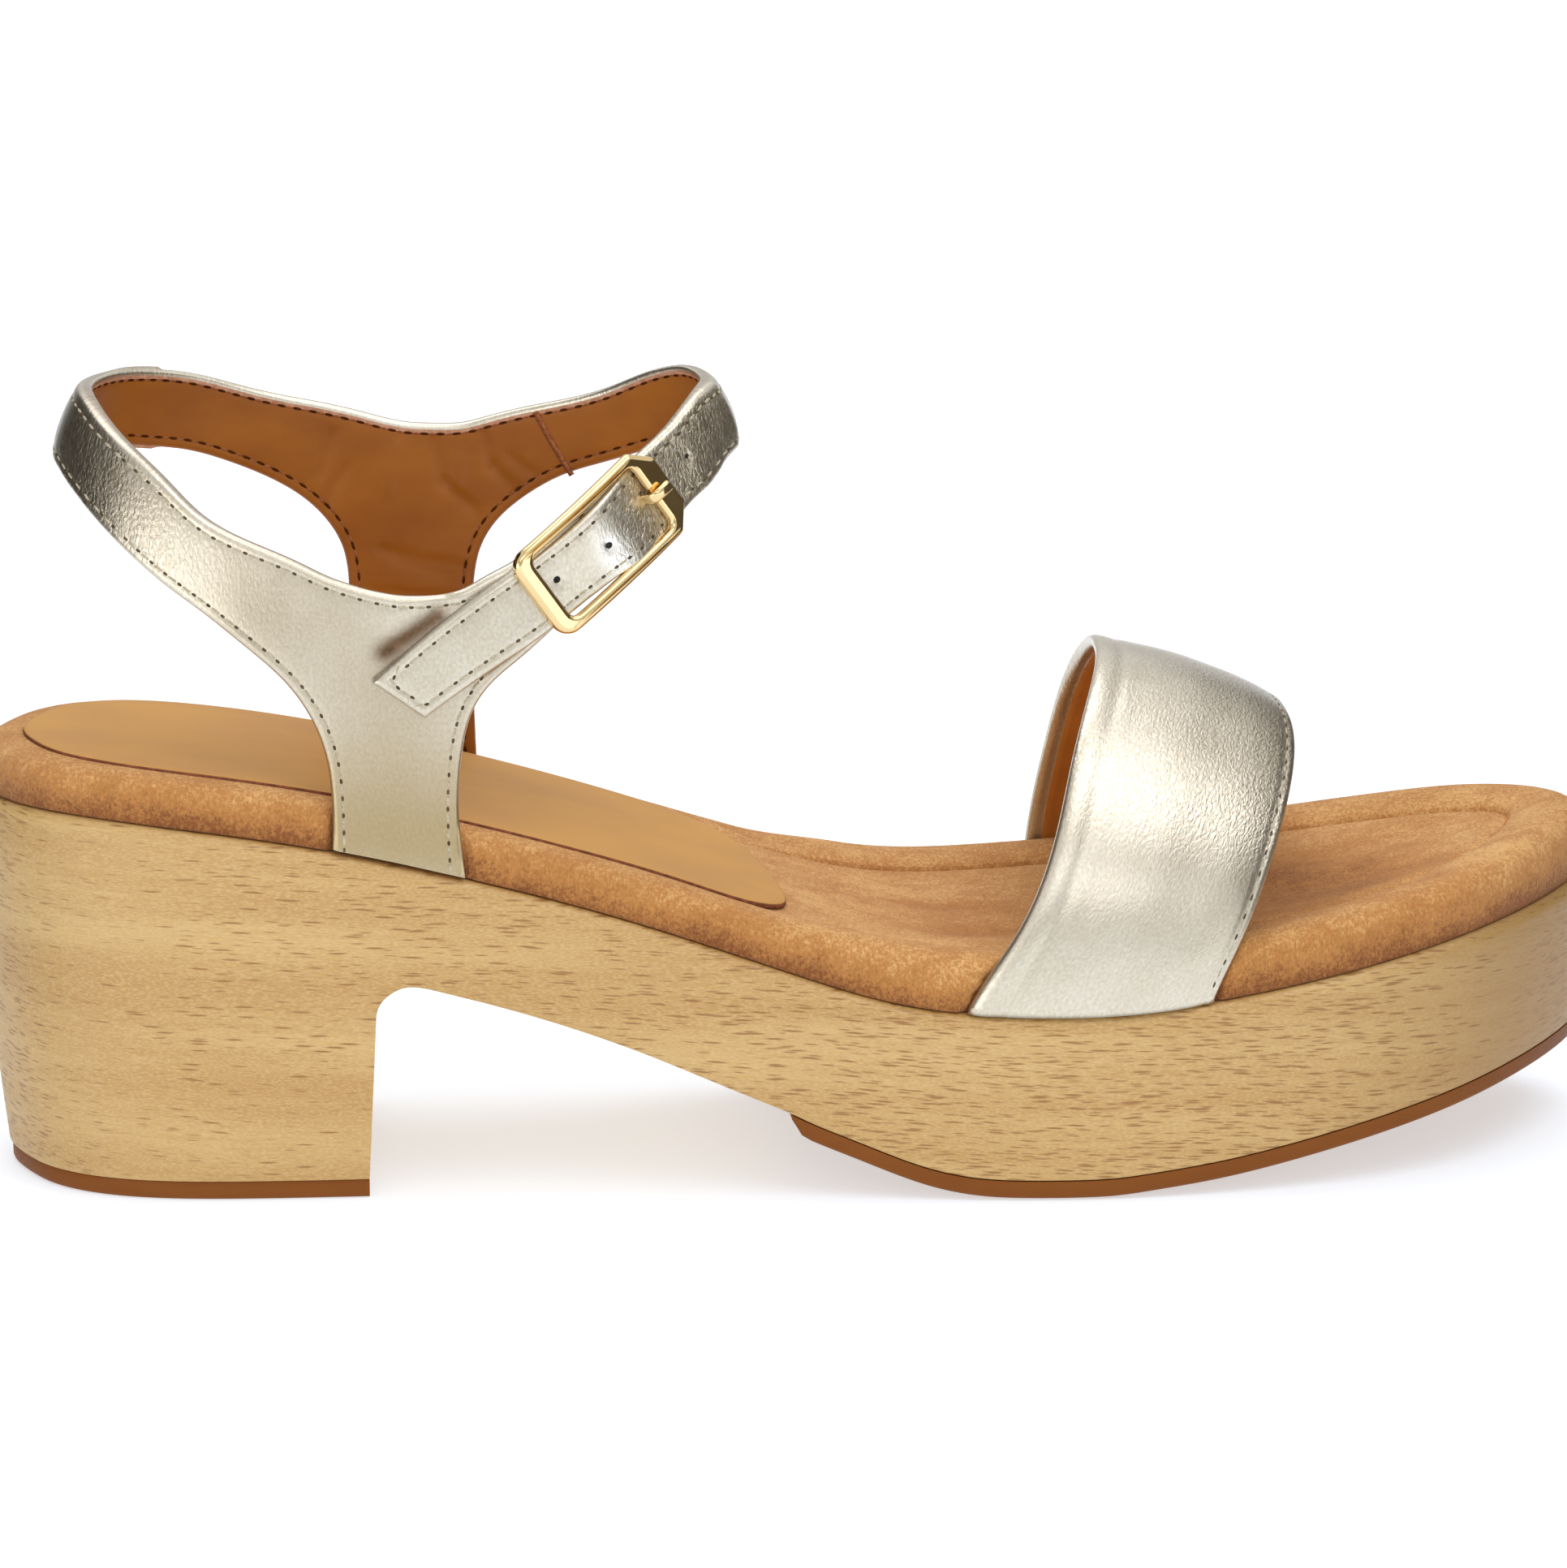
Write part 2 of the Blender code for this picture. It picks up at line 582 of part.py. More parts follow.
def build_ankle_upper():
    outer = upper_grid(UPPER_COLUMNS, UPPER_ACROSS, 0)
    inner = upper_grid(UPPER_COLUMNS, UPPER_ACROSS, STRAP_THICKNESS)
    return sheet_solid("ankle_upper", outer, inner, "metallic_leather")


def cut_posts(footbed):
    heights = np.linspace(*POST_NOTCH_HEIGHTS, 4)
    for name, travel_span in POST_NOTCHES.items():
        travels = np.linspace(*travel_span, 7)
        sheets = [
            np.array([[ANKLE.at(t, z, off) for z in heights] for t in travels])
            for off in (NOTCH_REACH, -STRAP_THICKNESS - GAP)
        ]
        cut(footbed, sheet_solid(name, *sheets, "suede"))


# Buckle

def buckle_frame_matrix():
    """Axes of the buckle: along the strap toward the front, across it upward, and away from the foot."""
    middle = ANKLE.at(BUCKLE_TRAVEL, BUCKLE_HEIGHT)
    forward = ANKLE.at(BUCKLE_TRAVEL - 1, BUCKLE_HEIGHT) - ANKLE.at(BUCKLE_TRAVEL + 1, BUCKLE_HEIGHT)
    upward = ANKLE.at(BUCKLE_TRAVEL, BUCKLE_HEIGHT + 1) - ANKLE.at(BUCKLE_TRAVEL, BUCKLE_HEIGHT - 1)
    forward /= np.linalg.norm(forward)
    away = np.cross(forward, upward)
    away /= np.linalg.norm(away)
    upward = np.cross(away, forward)
    slope = math.radians(BUCKLE_SLOPE_DEG)
    along = forward * math.cos(slope) + upward * math.sin(slope)
    across = np.cross(away, along)
    matrix = Matrix(np.column_stack([along, across, away]).tolist()).to_4x4()
    matrix.translation = (middle - ORIGIN) * MM
    return matrix


def rounded_corner(x, y, radius, turn, steps=4):
    """Arc of a corner at (x, y) of a box; turn is the angle at which the arc starts."""
    sx = 1 if x > 0 else -1
    sy = 1 if y > 0 else -1
    centre = (x - sx * radius, y - sy * radius)
    angles = np.radians(np.linspace(turn, turn + 90, steps + 1))
    return [(centre[0] + radius * math.cos(a), centre[1] + radius * math.sin(a)) for a in angles]


def frame_outline():
    front, rear, half, cut_off = BUCKLE_FRONT, -BUCKLE_REAR, BUCKLE_HALF_WIDTH, BUCKLE_FRONT_CHAMFER
    points = [(front, -half + cut_off), (front, half - cut_off), (front - cut_off, half)]
    points += rounded_corner(rear, half, BUCKLE_REAR_RADIUS, 90)
    points += rounded_corner(rear, -half, BUCKLE_REAR_RADIUS, 180)
    points.append((front - cut_off, -half))
    return points


def window_outline():
    points = []
    for x, y, turn in (
        (WINDOW_FRONT, WINDOW_HALF_WIDTH, 0), (-WINDOW_REAR, WINDOW_HALF_WIDTH, 90),
        (-WINDOW_REAR, -WINDOW_HALF_WIDTH, 180), (WINDOW_FRONT, -WINDOW_HALF_WIDTH, 270),
    ):
        points += rounded_corner(x, y, WINDOW_RADIUS, turn)
    return points


def prism(name, outline, low, high, material, bevel=0.0):
    """A flat plate from a plan outline, with an optional chamfer round its upper edge."""
    outline = np.array(outline)
    levels = [(0, low), (0, high - bevel), (bevel, high)] if bevel else [(0, low), (0, high)]
    middle = (outline.max(axis=0) + outline.min(axis=0)) / 2
    half = (outline.max(axis=0) - outline.min(axis=0)) / 2
    count = len(outline)
    points = []
    for inset, height in levels:
        ring = middle + (outline - middle) * (1 - inset / half)
        points += [(*p, height) for p in ring]
    faces = [tuple(range(count)), tuple(range(len(points) - count, len(points)))]
    for base in range(0, len(points) - count, count):
        for j in range(count):
            k = (j + 1) % count
            faces.append((base + j, base + k, base + count + k, base + count + j))
    return new_solid(name, points, faces, material, origin=np.zeros(3))


def bent_bar(name, line, width, thickness, material):
    """A flat bar that follows a line in the plane of the strap's length."""
    line = np.array(line)
    step = np.gradient(line, axis=0)
    step /= np.linalg.norm(step, axis=1)[:, None]
    side = np.stack([-step[:, 1], step[:, 0]], axis=1) * thickness / 2
    outer, inner = line + side, line - side
    sheets = [
        np.array([[(p[0], y, p[1]) for y in (-width / 2, width / 2)] for p in edge]) for edge in (outer, inner)
    ]
    columns = len(line)
    points = np.concatenate([s.reshape(-1, 3) for s in sheets])
    shift = columns * 2
    faces = [(0, 1, shift + 1, shift), (shift - 2, shift - 1, 2 * shift - 1, 2 * shift - 2)]
    for c in range(columns - 1):
        a, b = 2 * c, 2 * c + 2
        faces += [(a, b, b + 1, a + 1), (shift + a, shift + a + 1, shift + b + 1, shift + b)]
        faces += [(a, shift + a, shift + b, b), (a + 1, b + 1, shift + b + 1, shift + a + 1)]
    return new_solid(name, points, faces, material, origin=np.zeros(3))


def ring_line(radius, centre, start_deg, end_deg, steps):
    angles = np.radians(np.linspace(start_deg, end_deg, steps))
    return [(radius * math.cos(a), centre + radius * math.sin(a)) for a in angles]


def build_buckle(upper):
    seat = bpy.data.objects.new("buckle_seat", None)
    bpy.context.scene.collection.objects.link(seat)
    seat.matrix_world = buckle_frame_matrix()
    top = BUCKLE_BASE + BUCKLE_THICKNESS
    frame = prism("buckle_frame", frame_outline(), BUCKLE_BASE, top, "gold", bevel=BUCKLE_CHAMFER)
    window = prism("window", window_outline(), BUCKLE_BASE - CUTTER_ROOM, top + CUTTER_ROOM, "gold")
    staple = bent_staple(BUCKLE_HALF_WIDTH - BAR_LEG_INSET, WINDOW_HALF_WIDTH + BAR_LEG_INSET)
    hook = ring_line((PRONG_RING + PRONG_RING_HOLE) / 2, BAR_LIFT, *PRONG_HOOK_DEG, 15)
    prong = bent_bar("buckle_prong", hook + PRONG_LINE, PRONG_WIDTH, PRONG_RING - PRONG_RING_HOLE, "gold")
    slot_plan = [
        (PRONG_SLOT[0], -PRONG_SLOT_HALF_WIDTH), (PRONG_SLOT[1], -PRONG_SLOT_HALF_WIDTH),
        (PRONG_SLOT[1], PRONG_SLOT_HALF_WIDTH), (PRONG_SLOT[0], PRONG_SLOT_HALF_WIDTH),
    ]
    slot = prism("prong_slot", slot_plan, -PRONG_SLOT_DEPTH, PRONG_SLOT_DEPTH, "gold")
    for obj in (frame, window, staple, prong, slot):
        obj.parent = seat
    cut(frame, window)
    cut(frame, staple, "UNION")
    cut(upper, slot)


def bent_staple(reach, leg):
    """The centre bar with its two legs, which stand in the long sides of the frame."""
    low, high = BAR_LIFT - BAR_HALF, BAR_LIFT + BAR_HALF
    foot = BUCKLE_BASE + BUCKLE_THICKNESS / 2
    profile = [
        (-reach, low), (reach, low), (reach, foot), (leg, foot), (leg, high), (-leg, high), (-leg, foot),
        (-reach, foot),
    ]
    count = len(profile)
    points = [(x, y, z) for x in (-BAR_HALF, BAR_HALF) for y, z in profile]
    faces = [tuple(range(count)), tuple(range(count, 2 * count))]
    faces += [(j, (j + 1) % count, count + (j + 1) % count, count + j) for j in range(count)]
    return new_solid("centre_bar", points, faces, "gold", origin=np.zeros(3))


def main():
    for obj in list(bpy.data.objects):
        bpy.data.objects.remove(obj)
    build_platform()
    build_heel_lift()
    build_outsole()
    footbed = build_footbed()
    build_heel_pad()
    build_toe_strap()
    cut_toe_feet(footbed)
    upper = build_ankle_upper()
    cut_posts(footbed)
    build_buckle(upper)


main()
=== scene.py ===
"""Looks of the platform sandal: fine meshes of its pieces with seams, stitches and creases, finishes, light.

Sizes are in millimetres in the shoe's own axes, as in the part's source: x runs from the back of the heel to
the toe, y from the outer side (minus) to the inner side (plus), z up from the floor. Meshes are in metres
about ORIGIN.
"""

import math

import bmesh
import bpy
import numpy as np
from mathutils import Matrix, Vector
from mathutils.geometry import delaunay_2d_cdt


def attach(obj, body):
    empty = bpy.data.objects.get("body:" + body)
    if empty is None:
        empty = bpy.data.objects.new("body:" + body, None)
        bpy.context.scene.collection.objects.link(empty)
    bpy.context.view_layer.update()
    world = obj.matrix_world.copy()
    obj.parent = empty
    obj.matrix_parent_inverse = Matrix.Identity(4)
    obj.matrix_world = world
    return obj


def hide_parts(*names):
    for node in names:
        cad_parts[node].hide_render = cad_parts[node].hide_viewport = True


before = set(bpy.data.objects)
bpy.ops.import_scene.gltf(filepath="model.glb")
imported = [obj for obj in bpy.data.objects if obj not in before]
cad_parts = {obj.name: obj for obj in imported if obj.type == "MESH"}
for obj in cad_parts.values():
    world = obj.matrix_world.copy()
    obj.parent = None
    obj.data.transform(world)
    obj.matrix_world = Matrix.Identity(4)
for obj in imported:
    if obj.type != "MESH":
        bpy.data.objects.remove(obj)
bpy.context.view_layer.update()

MM = 0.001
ORIGIN = np.array((124.7, 0.2, 0.0))
GAP = 0.3

# Camera: the point it looks at, its distance and angles, and its lens on a 36 mm sensor
CAMERA_TARGET = (122, 0, 55.28)
CAMERA_DISTANCE = 900.0
CAMERA_RISE_DEG = 13.0
CAMERA_TURN_DEG = 6.0
CAMERA_LENS = 136.5

# Wood block: its top edge seen from above, as (x, y), from the back of the heel round the outer side
SOLE_OUTLINE = [
    (0, 0.5), (2, -8), (7, -17.6), (14, -24), (25, -28.6), (40, -30.6), (60, -31.2), (95, -32), (130, -37),
    (160, -41), (190, -39.5), (210, -35.2), (222, -30), (233, -21), (241.5, -10.2), (246.8, -0.5), (249, 8),
    (247.6, 16.5), (241.5, 24.2), (225, 32.8), (200, 40), (175, 41.6), (140, 36), (100, 30.4), (60, 31.2),
    (40, 31.6), (25, 30.2), (14, 26), (7, 19.6), (2, 9.6),
]
# Height of the wood's top, as (x, z)
WOOD_TOP = [
    (-2, 58.4), (11, 58.6), (28, 57.3), (52, 53.6), (72, 49), (99, 41.2), (122, 33.6), (135, 30), (146, 28.6),
    (158, 28.3), (170, 28.6), (182, 29.8), (207, 33.7), (228, 37.4), (240, 38.6), (252, 39.2),
]
# Height of the wood's underside in the arch, as (x, z), from the heel breast to the outsole's rear edge
ARCH = [
    (58.9, 28.5), (59.2, 29.8), (60.6, 31.6), (61.8, 32.4), (63, 32.85), (64.3, 32.95), (65.6, 32.8),
    (68, 32.2), (75, 30.2), (87, 26.3), (99, 21.7), (110, 17), (119, 13.2),
]
# Height of the outsole's underside, as (x, z); what falls below the floor is the flat spot
TREAD = [
    (116, 12), (119, 10.3), (128.6, 6.1), (134.5, 3.7), (140, 1.8), (146, 0.5), (151, -0.1), (158, -0.4),
    (166, -0.1), (172, 0.7), (183, 2.2), (195, 4.4), (208, 7.1), (222, 10), (236, 12.2), (252, 13.2),
]
TREAD_SOFTNESS = 0.6
OUTSOLE_REAR = 119.5
ARCH_BLEND = 4.0
RUBBER = 2.6
BREAST_FOOT = 57.6
BREAST_TOP = 58.9
HEEL_DRAFT = 4.7
HEEL_DRAFT_POWER = 1.55
FOREFOOT_DRAFT = 2.3
HEEL_FULL_X = 60.0
FOREFOOT_FULL_X = 112.0
# Rounded edges, as (drawn in, height from the edge)
WOOD_FOOT_EDGE = [(0.45, 0), (0.13, 0.13), (0, 0.45)]
WOOD_TOP_EDGE = [(0, 1.9), (0.12, 1.1), (0.4, 0.5), (0.85, 0.15), (1.5, 0)]
WOOD_LEVELS = (0.14, 0.28, 0.42, 0.56, 0.7, 0.85)
RUBBER_EDGE = [(1.1, 0), (0.6, 0.12), (0.22, 0.4), (0.04, 0.85)]
OUTSOLE_TAPER = 2.0
OUTSOLE_THIN = 0.7
# Room left between wood and rubber, and how much the wood's grain falls toward the toe
RUBBER_GAP = 0.05
GRAIN_DIP = 0.05

# Footbed section from its edge inwards: inset from the wood's edge, height at the heel and at the forefoot
BED_SECTION = [
    (1.3, 0, 0), (0.8, 2.4, 2.6), (1.0, 4.3, 5.2), (2.1, 5.9, 7.1), (4, 6.8, 8.1), (7, 7, 8.3),
    (10.5, 6.5, 7.8), (12.8, 6.5, 6.9), (13.6, 6.5, 6.5), (15.5, 6.5, 6.7),
]
BED_MIDDLE = (6.5, 6.2)
BED_BLEND = (117, 133)
BED_TOE_RISE = 0.1
BED_TOE_FROM = 214.0
BED_SEAM_INSET = 13.2
BED_SEAM_DEPTH = 0.9
BED_SEAM_HALF = 0.34
# Where the bed's seam grows in along x and across y, and where and how strongly it shows round the toe
SEAM_GROWS_X = (112, 128)
SEAM_GROWS_Y = (-12, 2)
SEAM_TOE_X = (232, 238)
SEAM_TOE_SHARE = 0.35
# Stretches along x where the bed tucks in behind the straps' feet, how far out that starts, and its soft ends
POST_REACH = (48, 92)
TOE_REACH = (138, 204)
TUCK_FROM_Y = 18
TUCK_ENDS = (-0.9, 0.5)
# Soft dents and swells of the bed, as (x, y, half length, half width, depth; less than nothing is a swell)
BED_DENTS = [
    (147, 3, 8, 2.4, 0.55), (151, -13, 9, 3.2, 0.8), (133, 5, 4, 1.5, 0.25), (160, -4, 18, 6, 0.4),
    (206, -8, 16, 7, 0.9), (214, 8, 12, 6, 0.5), (200, 14, 16, 5, -0.4), (220, -14, 14, 3, -0.5),
    (176, -22, 18, 5, -0.4),
]

# Heel pad seen from above, as (x, y)
PAD_OUTLINE = [
    (8, 1), (9.6, -7), (14, -15.4), (22, -21), (36, -23.8), (60, -24.4), (88, -25), (106, -26),
    (115.5, -26), (119.5, -22), (120.6, -14), (120, -4), (118.2, 6), (115.4, 15), (110, 21), (98, 23.6),
    (60, 24.6), (36, 25), (22, 22.8), (14, 17.4), (9.6, 9.2),
]
PAD_THICKNESS = 0.75
# Cut edge of the pad, as (drawn in, below the top)
PAD_EDGE = [(0, 0.35), (0.12, 0.12), (0.4, 0.02), (0.9, 0), (2.2, 0)]

# Toe strap: angle round the arch from the outer foot, then x of the rear edge and of the front edge
TOE_ROWS = [
    (-10, 141, 178.5), (0, 145, 181.5), (10, 151, 185), (25, 157, 189.3), (45, 161.2, 193.7),
    (65, 165.3, 197), (90, 169.3, 199), (115, 169.8, 199.7), (135, 168.6, 199.6), (155, 166.8, 199),
    (170, 165, 198.2), (180, 164, 197.5), (190, 163, 196.5),
]
TOE_REAR_RISE = 47.6
TOE_FRONT_RISE = 33.2
TOE_ROUNDNESS = 0.87
TOE_THICKNESS = 2.4
TOE_CROWN = 1.3
TOE_EDGE_INSET = 0.2
# Section of the toe strap, as (distance from the rear edge, depth below the outer face), from the inside
# round the rolled rear edge to the middle, then as (distance from the front edge, depth) back round the
# bound front edge
TOE_REAR_SECTION = [
    (9, 2.3), (6.5, 2.25), (4, 2.15), (2.4, 2.1), (2, 1.95), (1.7, 2.1), (1.2, 2.1), (0.7, 2), (0.25, 1.75),
    (0, 1.3), (0.08, 0.9), (0.35, 0.5), (0.85, 0.22), (1.6, 0.06), (2.4, 0.01), (3.4, 0.05), (4.3, 0.15),
    (5.2, 0.06), (7, -0.04), (8.4, -0.1), (10, -0.18),
]
TOE_FRONT_SECTION = [
    (9, -0.25), (6.5, -0.22), (4.6, -0.12), (3.2, 0), (2.2, 0.12), (1.6, 0.28), (1.25, 0.46), (1, 0.38),
    (0.75, 0.3), (0.4, 0.36), (0.12, 0.6), (0, 0.95), (0.12, 1.35), (0.5, 1.65), (1.2, 1.75), (1.8, 1.65),
    (2.1, 1.55), (2.5, 1.8), (6, 2.2), (9, 2.35),
]
TOE_MIDDLE_SWELL = -0.28
TOE_LINING = (2.3, 29.9)
# Width for which the section is drawn, and the steps round it
TOE_WIDTH = 32.0
TOE_STEP = 0.55
TOE_STITCH_FROM_FRONT = 1.22
TOE_STITCH_STEP = 3.5

# Leather's outer face round the ankle at LOOP_HEIGHT, as (x, y), from the back round the outer side
ANKLE_LOOP = [
    (15, 0), (17.2, -8.5), (24, -16.8), (36, -22.8), (50, -25.7), (64, -26.3), (78, -25.4), (91, -20.6),
    (104, -15.2), (111, -9.5), (114, 0), (111, 10), (104, 16.5), (92, 22.5), (78, 25.8), (64, 26.4),
    (50, 25.8), (36, 23), (24, 17), (17.2, 8.5),
]
LOOP_HEIGHT = 112.0
LEAN_SIDES = 0.08
LEAN_ENDS = 0.42
LEAN_POWER = 1.5
STRAP_THICKNESS = 1.8
# Travel of the posts' two edges at the footbed
POST_SPANS = [(-69.6, -50.5), (55.0, 74.7)]

# Ankle upper, a row for each line across it: travel along the loop and height of its lower edge, then of
# its upper edge. Travel starts at the back of the heel, less than nothing on the outer side, and runs round
# by the inner side.
UPPER_ROWS = [
    # outer arm under the buckle, then the outer post
    (-95.2, 96.1, -89.6, 104.3), (-88, 90.6, -83, 99.6), (-81.7, 85.2, -77.5, 95.5), (-77, 81.3, -73.2, 93.3),
    (-73, 77.5, -70, 91.6), (-70.8, 74, -67.5, 90.9), (-69.3, 68.5, -65, 90.7), (-68.6, 60, -63, 90.7),
    (-69.3, 49.6, -61, 90.8), (-60, 52, -58.5, 91.2), (-50.8, 54.1, -56, 91.8), (-50.8, 61, -53.5, 92.6),
    (-50.2, 67, -51, 93.5), (-48.2, 73, -48.5, 94.7), (-44.5, 78.6, -45, 96.4),
    # sling round the heel
    (-38.8, 83.9, -38.7, 99), (-33.1, 88.5, -32.6, 102.2), (-27.2, 92.7, -26.5, 107.3),
    (-20.8, 97.8, -19.7, 111.8), (-12.8, 103.6, -12.6, 115.3), (-6.3, 106.6, -6, 117.3),
    (0, 107.8, 0, 117.9), (7, 107.7, 7, 118.2), (14, 107.1, 14, 118.2), (23.7, 105.7, 23.5, 117.5),
    (30.5, 104.5, 32, 116), (37, 102.3, 39.5, 113.7),
    # inner post
    (43, 99.6, 45.7, 112), (48.7, 96, 52, 110.6), (52.5, 92, 56, 109.6), (54.6, 88, 58.5, 108.9),
    (55.5, 82, 60.5, 108.3), (55.6, 66, 62.5, 107.8), (55.4, 52.9, 64.5, 107.4), (65, 51, 67, 107.2),
    (74.4, 48.3, 69.5, 107.1), (74, 64, 71.5, 107.1), (74.3, 82, 73.5, 107.3), (75.3, 87.2, 75.5, 107.8),
    (77.5, 91.3, 78, 108.5), (82.5, 95.9, 82.7, 109.7), (88.6, 99.4, 89, 111.1),
    # strap round the front of the ankle, then down the outer side to its free end
    (95.3, 101.7, 96, 113.2), (103, 104.3, 103.4, 116.2), (112, 106.7, 112, 118.1),
    (123.5, 107.8, 123.5, 117.8), (131.4, 106.9, 131.6, 117.6), (137.4, 103.9, 137.2, 116.3),
    (142.2, 101.2, 144, 112.3), (146.3, 98, 152.3, 107.5), (154.3, 93.3, 159.9, 102.1),
    (164, 87, 170.1, 94.5), (173.5, 80.2, 180.3, 86.8), (182.4, 73.6, 189.8, 78.9),
]
CORNER_TURN_DEG = 50.0
STRAP_FROM = 130.0
# How far the strap's outer face stands off the loop, by the travel of its middle line: over the buckle's
# centre bar, then over the outer arm
STRAP_LIFT = [
    (130, 0), (138, 0), (143, 0.4), (146.5, 1.1), (149.5, 2.1), (152, 3.5), (155.2, 4.3), (159, 3.8),
    (164, 2.6), (169, 2.15), (185, 2.1), (200, 2.1),
]
# Leather by the distance from its stitched edge: depth of the outer face, and how much thinner it is
LEATHER_EDGE = [
    (0, 0.45, 0.5), (0.2, 0.15, 0.2), (0.45, 0.03, 0.06), (0.8, 0, 0), (1.1, 0.01, 0.02), (1.45, 0.07, 0.1),
    (1.8, 0.02, 0.03), (2.3, 0, 0), (3.2, -0.02, 0), (50, -0.02, 0),
]
# Thickness of leather and lining together, by travel; the posts' feet are as thin as STRAP_THICKNESS
LEATHER_THICKNESS = [
    (-96, 1.8), (-60, 1.8), (-40, 2.2), (-20, 2.5), (25, 2.5), (45, 2.2), (80, 2.2), (110, 2.5), (135, 2.5),
    (148, 1.8), (191, 1.8),
]
THIN_HEIGHTS = (66, 80)
# How far the leather's middle swells out at the ends of the loop, and its lower edge curls in, by travel
LEATHER_SWELLS = [
    (-96, 0, 0), (-40, 0, 0), (-20, 0.4, 0), (0, 0.6, 0.3), (20, 0.4, 0), (45, 0, 0), (98, 0, 0),
    (112, 0.5, 0.6), (123, 0.8, 1), (133, 0.6, 0.7), (142, 0, 0), (191, 0, 0),
]
SWELL_FROM_HEIGHT = 83.0
LEATHER_RINGS = (0.2, 0.45, 0.8, 1.1, 1.45, 1.8, 2.3, 3.1)
LEATHER_STEP = 0.85
LEATHER_GRID = 0.82
RIM_SHARES = (0.38, 0.66)
FOLD_WIDTH = 0.75
RAW_WIDTH = 0.75
# How far the rim swells out of the leather's edge, by travel; more where two leathers lie on each other
RIM_SWELLS = [(-96, 0.1), (10, 0.1), (18, 0.5), (25, 0.5), (25.5, 0.1), (191, 0.1)]
# The posts' feet run on under the bed's edge, so their lower ends have no stitches
FOOT_HEIGHT = 57.0
FOOT_DROP = 6.0
STITCH_INSET = 1.45
STITCH_STEP = 2.5
# Punched holes of the strap, as (travel, height), and their radius
STRAP_HOLES = [(141, 108.5), (149, 103.2), (156.5, 97.5), (164.5, 93)]
HOLE_RADIUS = 0.62
# Soft troughs on the outer face and on the lining: start and end as (travel, height), half width, depth
OUTER_TROUGHS = [
    (-60.5, 85, -67.5, 90, 1.5, 0.4), (-84, 88, -72, 80.5, 2.2, 0.4),
    (133, 106, 136, 116, 1.6, 0.3), (138, 104.5, 142.5, 113, 1.5, -0.3), (128, 108, 129.5, 118, 1.6, -0.25),
]
LINING_TROUGHS = [
    (53, 106, 51, 99.5, 0.75, -0.42), (55, 100.5, 52, 95.5, 0.75, -0.5), (68.5, 104.5, 70, 98, 0.8, -0.45),
    (70, 98, 75, 93.5, 0.8, -0.5), (76.5, 105.5, 77.5, 100.5, 0.75, -0.45),
    (77.5, 100.5, 82, 96, 0.8, -0.5), (80.5, 102, 83.5, 99.5, 0.75, -0.4),
    (60.5, 87.5, 73, 84.5, 0.75, -0.4), (62.5, 85.8, 70.5, 83.4, 0.75, -0.35),
    (58.5, 81, 72, 79.5, 0.8, -0.35), (63, 104, 61.5, 97, 0.9, 0.3), (73, 102, 72, 97.5, 0.8, 0.3),
]
# Places where one piece of outer leather ends on another, as travel, and the height of the step
OVERLAPS = [(25.0, 0.35), (69.5, -0.35)]
# Raw edge of the lining across the strap, as (travel, height) from end to end
LINING_SEAM = [(84.7, 109.2), (87.3, 104.2), (90.1, 99.4)]
# Painted light and shade on the leather: painted shade where it looks darker, as in a fold; a painted olive
# reflection, as it mirrors the sole; and a painted highlight where the strap bends: start and end as
# (travel, height), half width, share
LEATHER_PAINTED_SHADES = [
    (-58.5, 82.8, -66.3, 87.9, 1.5, 0.95), (53, 50, 77, 46, 9, 0.32), (-60, 76, -46, 88, 14, 0.08),
    (174, 86, 187, 76, 8, 0.08), (-18, 106, -9, 113, 7, 0.28),
]
LEATHER_PAINTED_REFLECTIONS = [(-71, 55, -49, 57, 13, 0.72), (-60, 78, -44, 90, 12, 0.22)]
LEATHER_PAINTED_HIGHLIGHTS = [(153.8, 94.4, 155.8, 96.6, 2.6, 0.9), (155.8, 96.6, 158, 99.6, 2.2, 0.5)]
# Painted shade over the rim, dimming the reflection its upturned face catches
RIM_PAINTED_SHADE = 0.38
# How strongly the leather wrinkles, by travel
WRINKLES = [
    (-95, 0.4), (-72, 0.2), (-50, 0.15), (-38, 0.3), (-25, 0.9), (-10, 1.4), (12, 1.4), (30, 0.8), (60, 0.35),
    (95, 0.8), (120, 1.4), (142, 1.6), (151, 1.4), (157, 0.45), (170, 0.28), (190, 0.22),
]

# Buckle: its middle on the loop, its slope, and its sizes along and across the strap
BUCKLE_TRAVEL = 156.9
BUCKLE_HEIGHT = 97.7
BUCKLE_SLOPE_DEG = 34.5
BUCKLE_REAR = 14.2
BUCKLE_FRONT = 13.9
BUCKLE_HALF_WIDTH = 7.4
BUCKLE_REAR_RADIUS = 2.8
BUCKLE_FRONT_CHAMFER = 3.3
WINDOW_REAR = 11.3
WINDOW_FRONT = 10.0
WINDOW_HALF_WIDTH = 5.5
WINDOW_RADIUS = 1.2
BUCKLE_BASE = 2.6
BUCKLE_THICKNESS = 1.9
BUCKLE_ROUND = 0.8
BUCKLE_BEND_RADIUS = 90.0
BAR_HALF = 0.5
BAR_LIFT = 1.2
BAR_ROUNDNESS = 0.7
PRONG_HALF_WIDTH = 0.85
PRONG_HALF_THICKNESS = 0.45
# Prong's middle line, as (along the strap, away from the foot)
PRONG_LINE = [(2.6, 1), (7.4, 0.8), (8.9, 2), (9.5, 4.5), (10.5, 5.05), (12.5, 4.9)]
PRONG_RING_RADIUS = 1.7
PRONG_HOOK_DEG = (330, 20)


# Curves

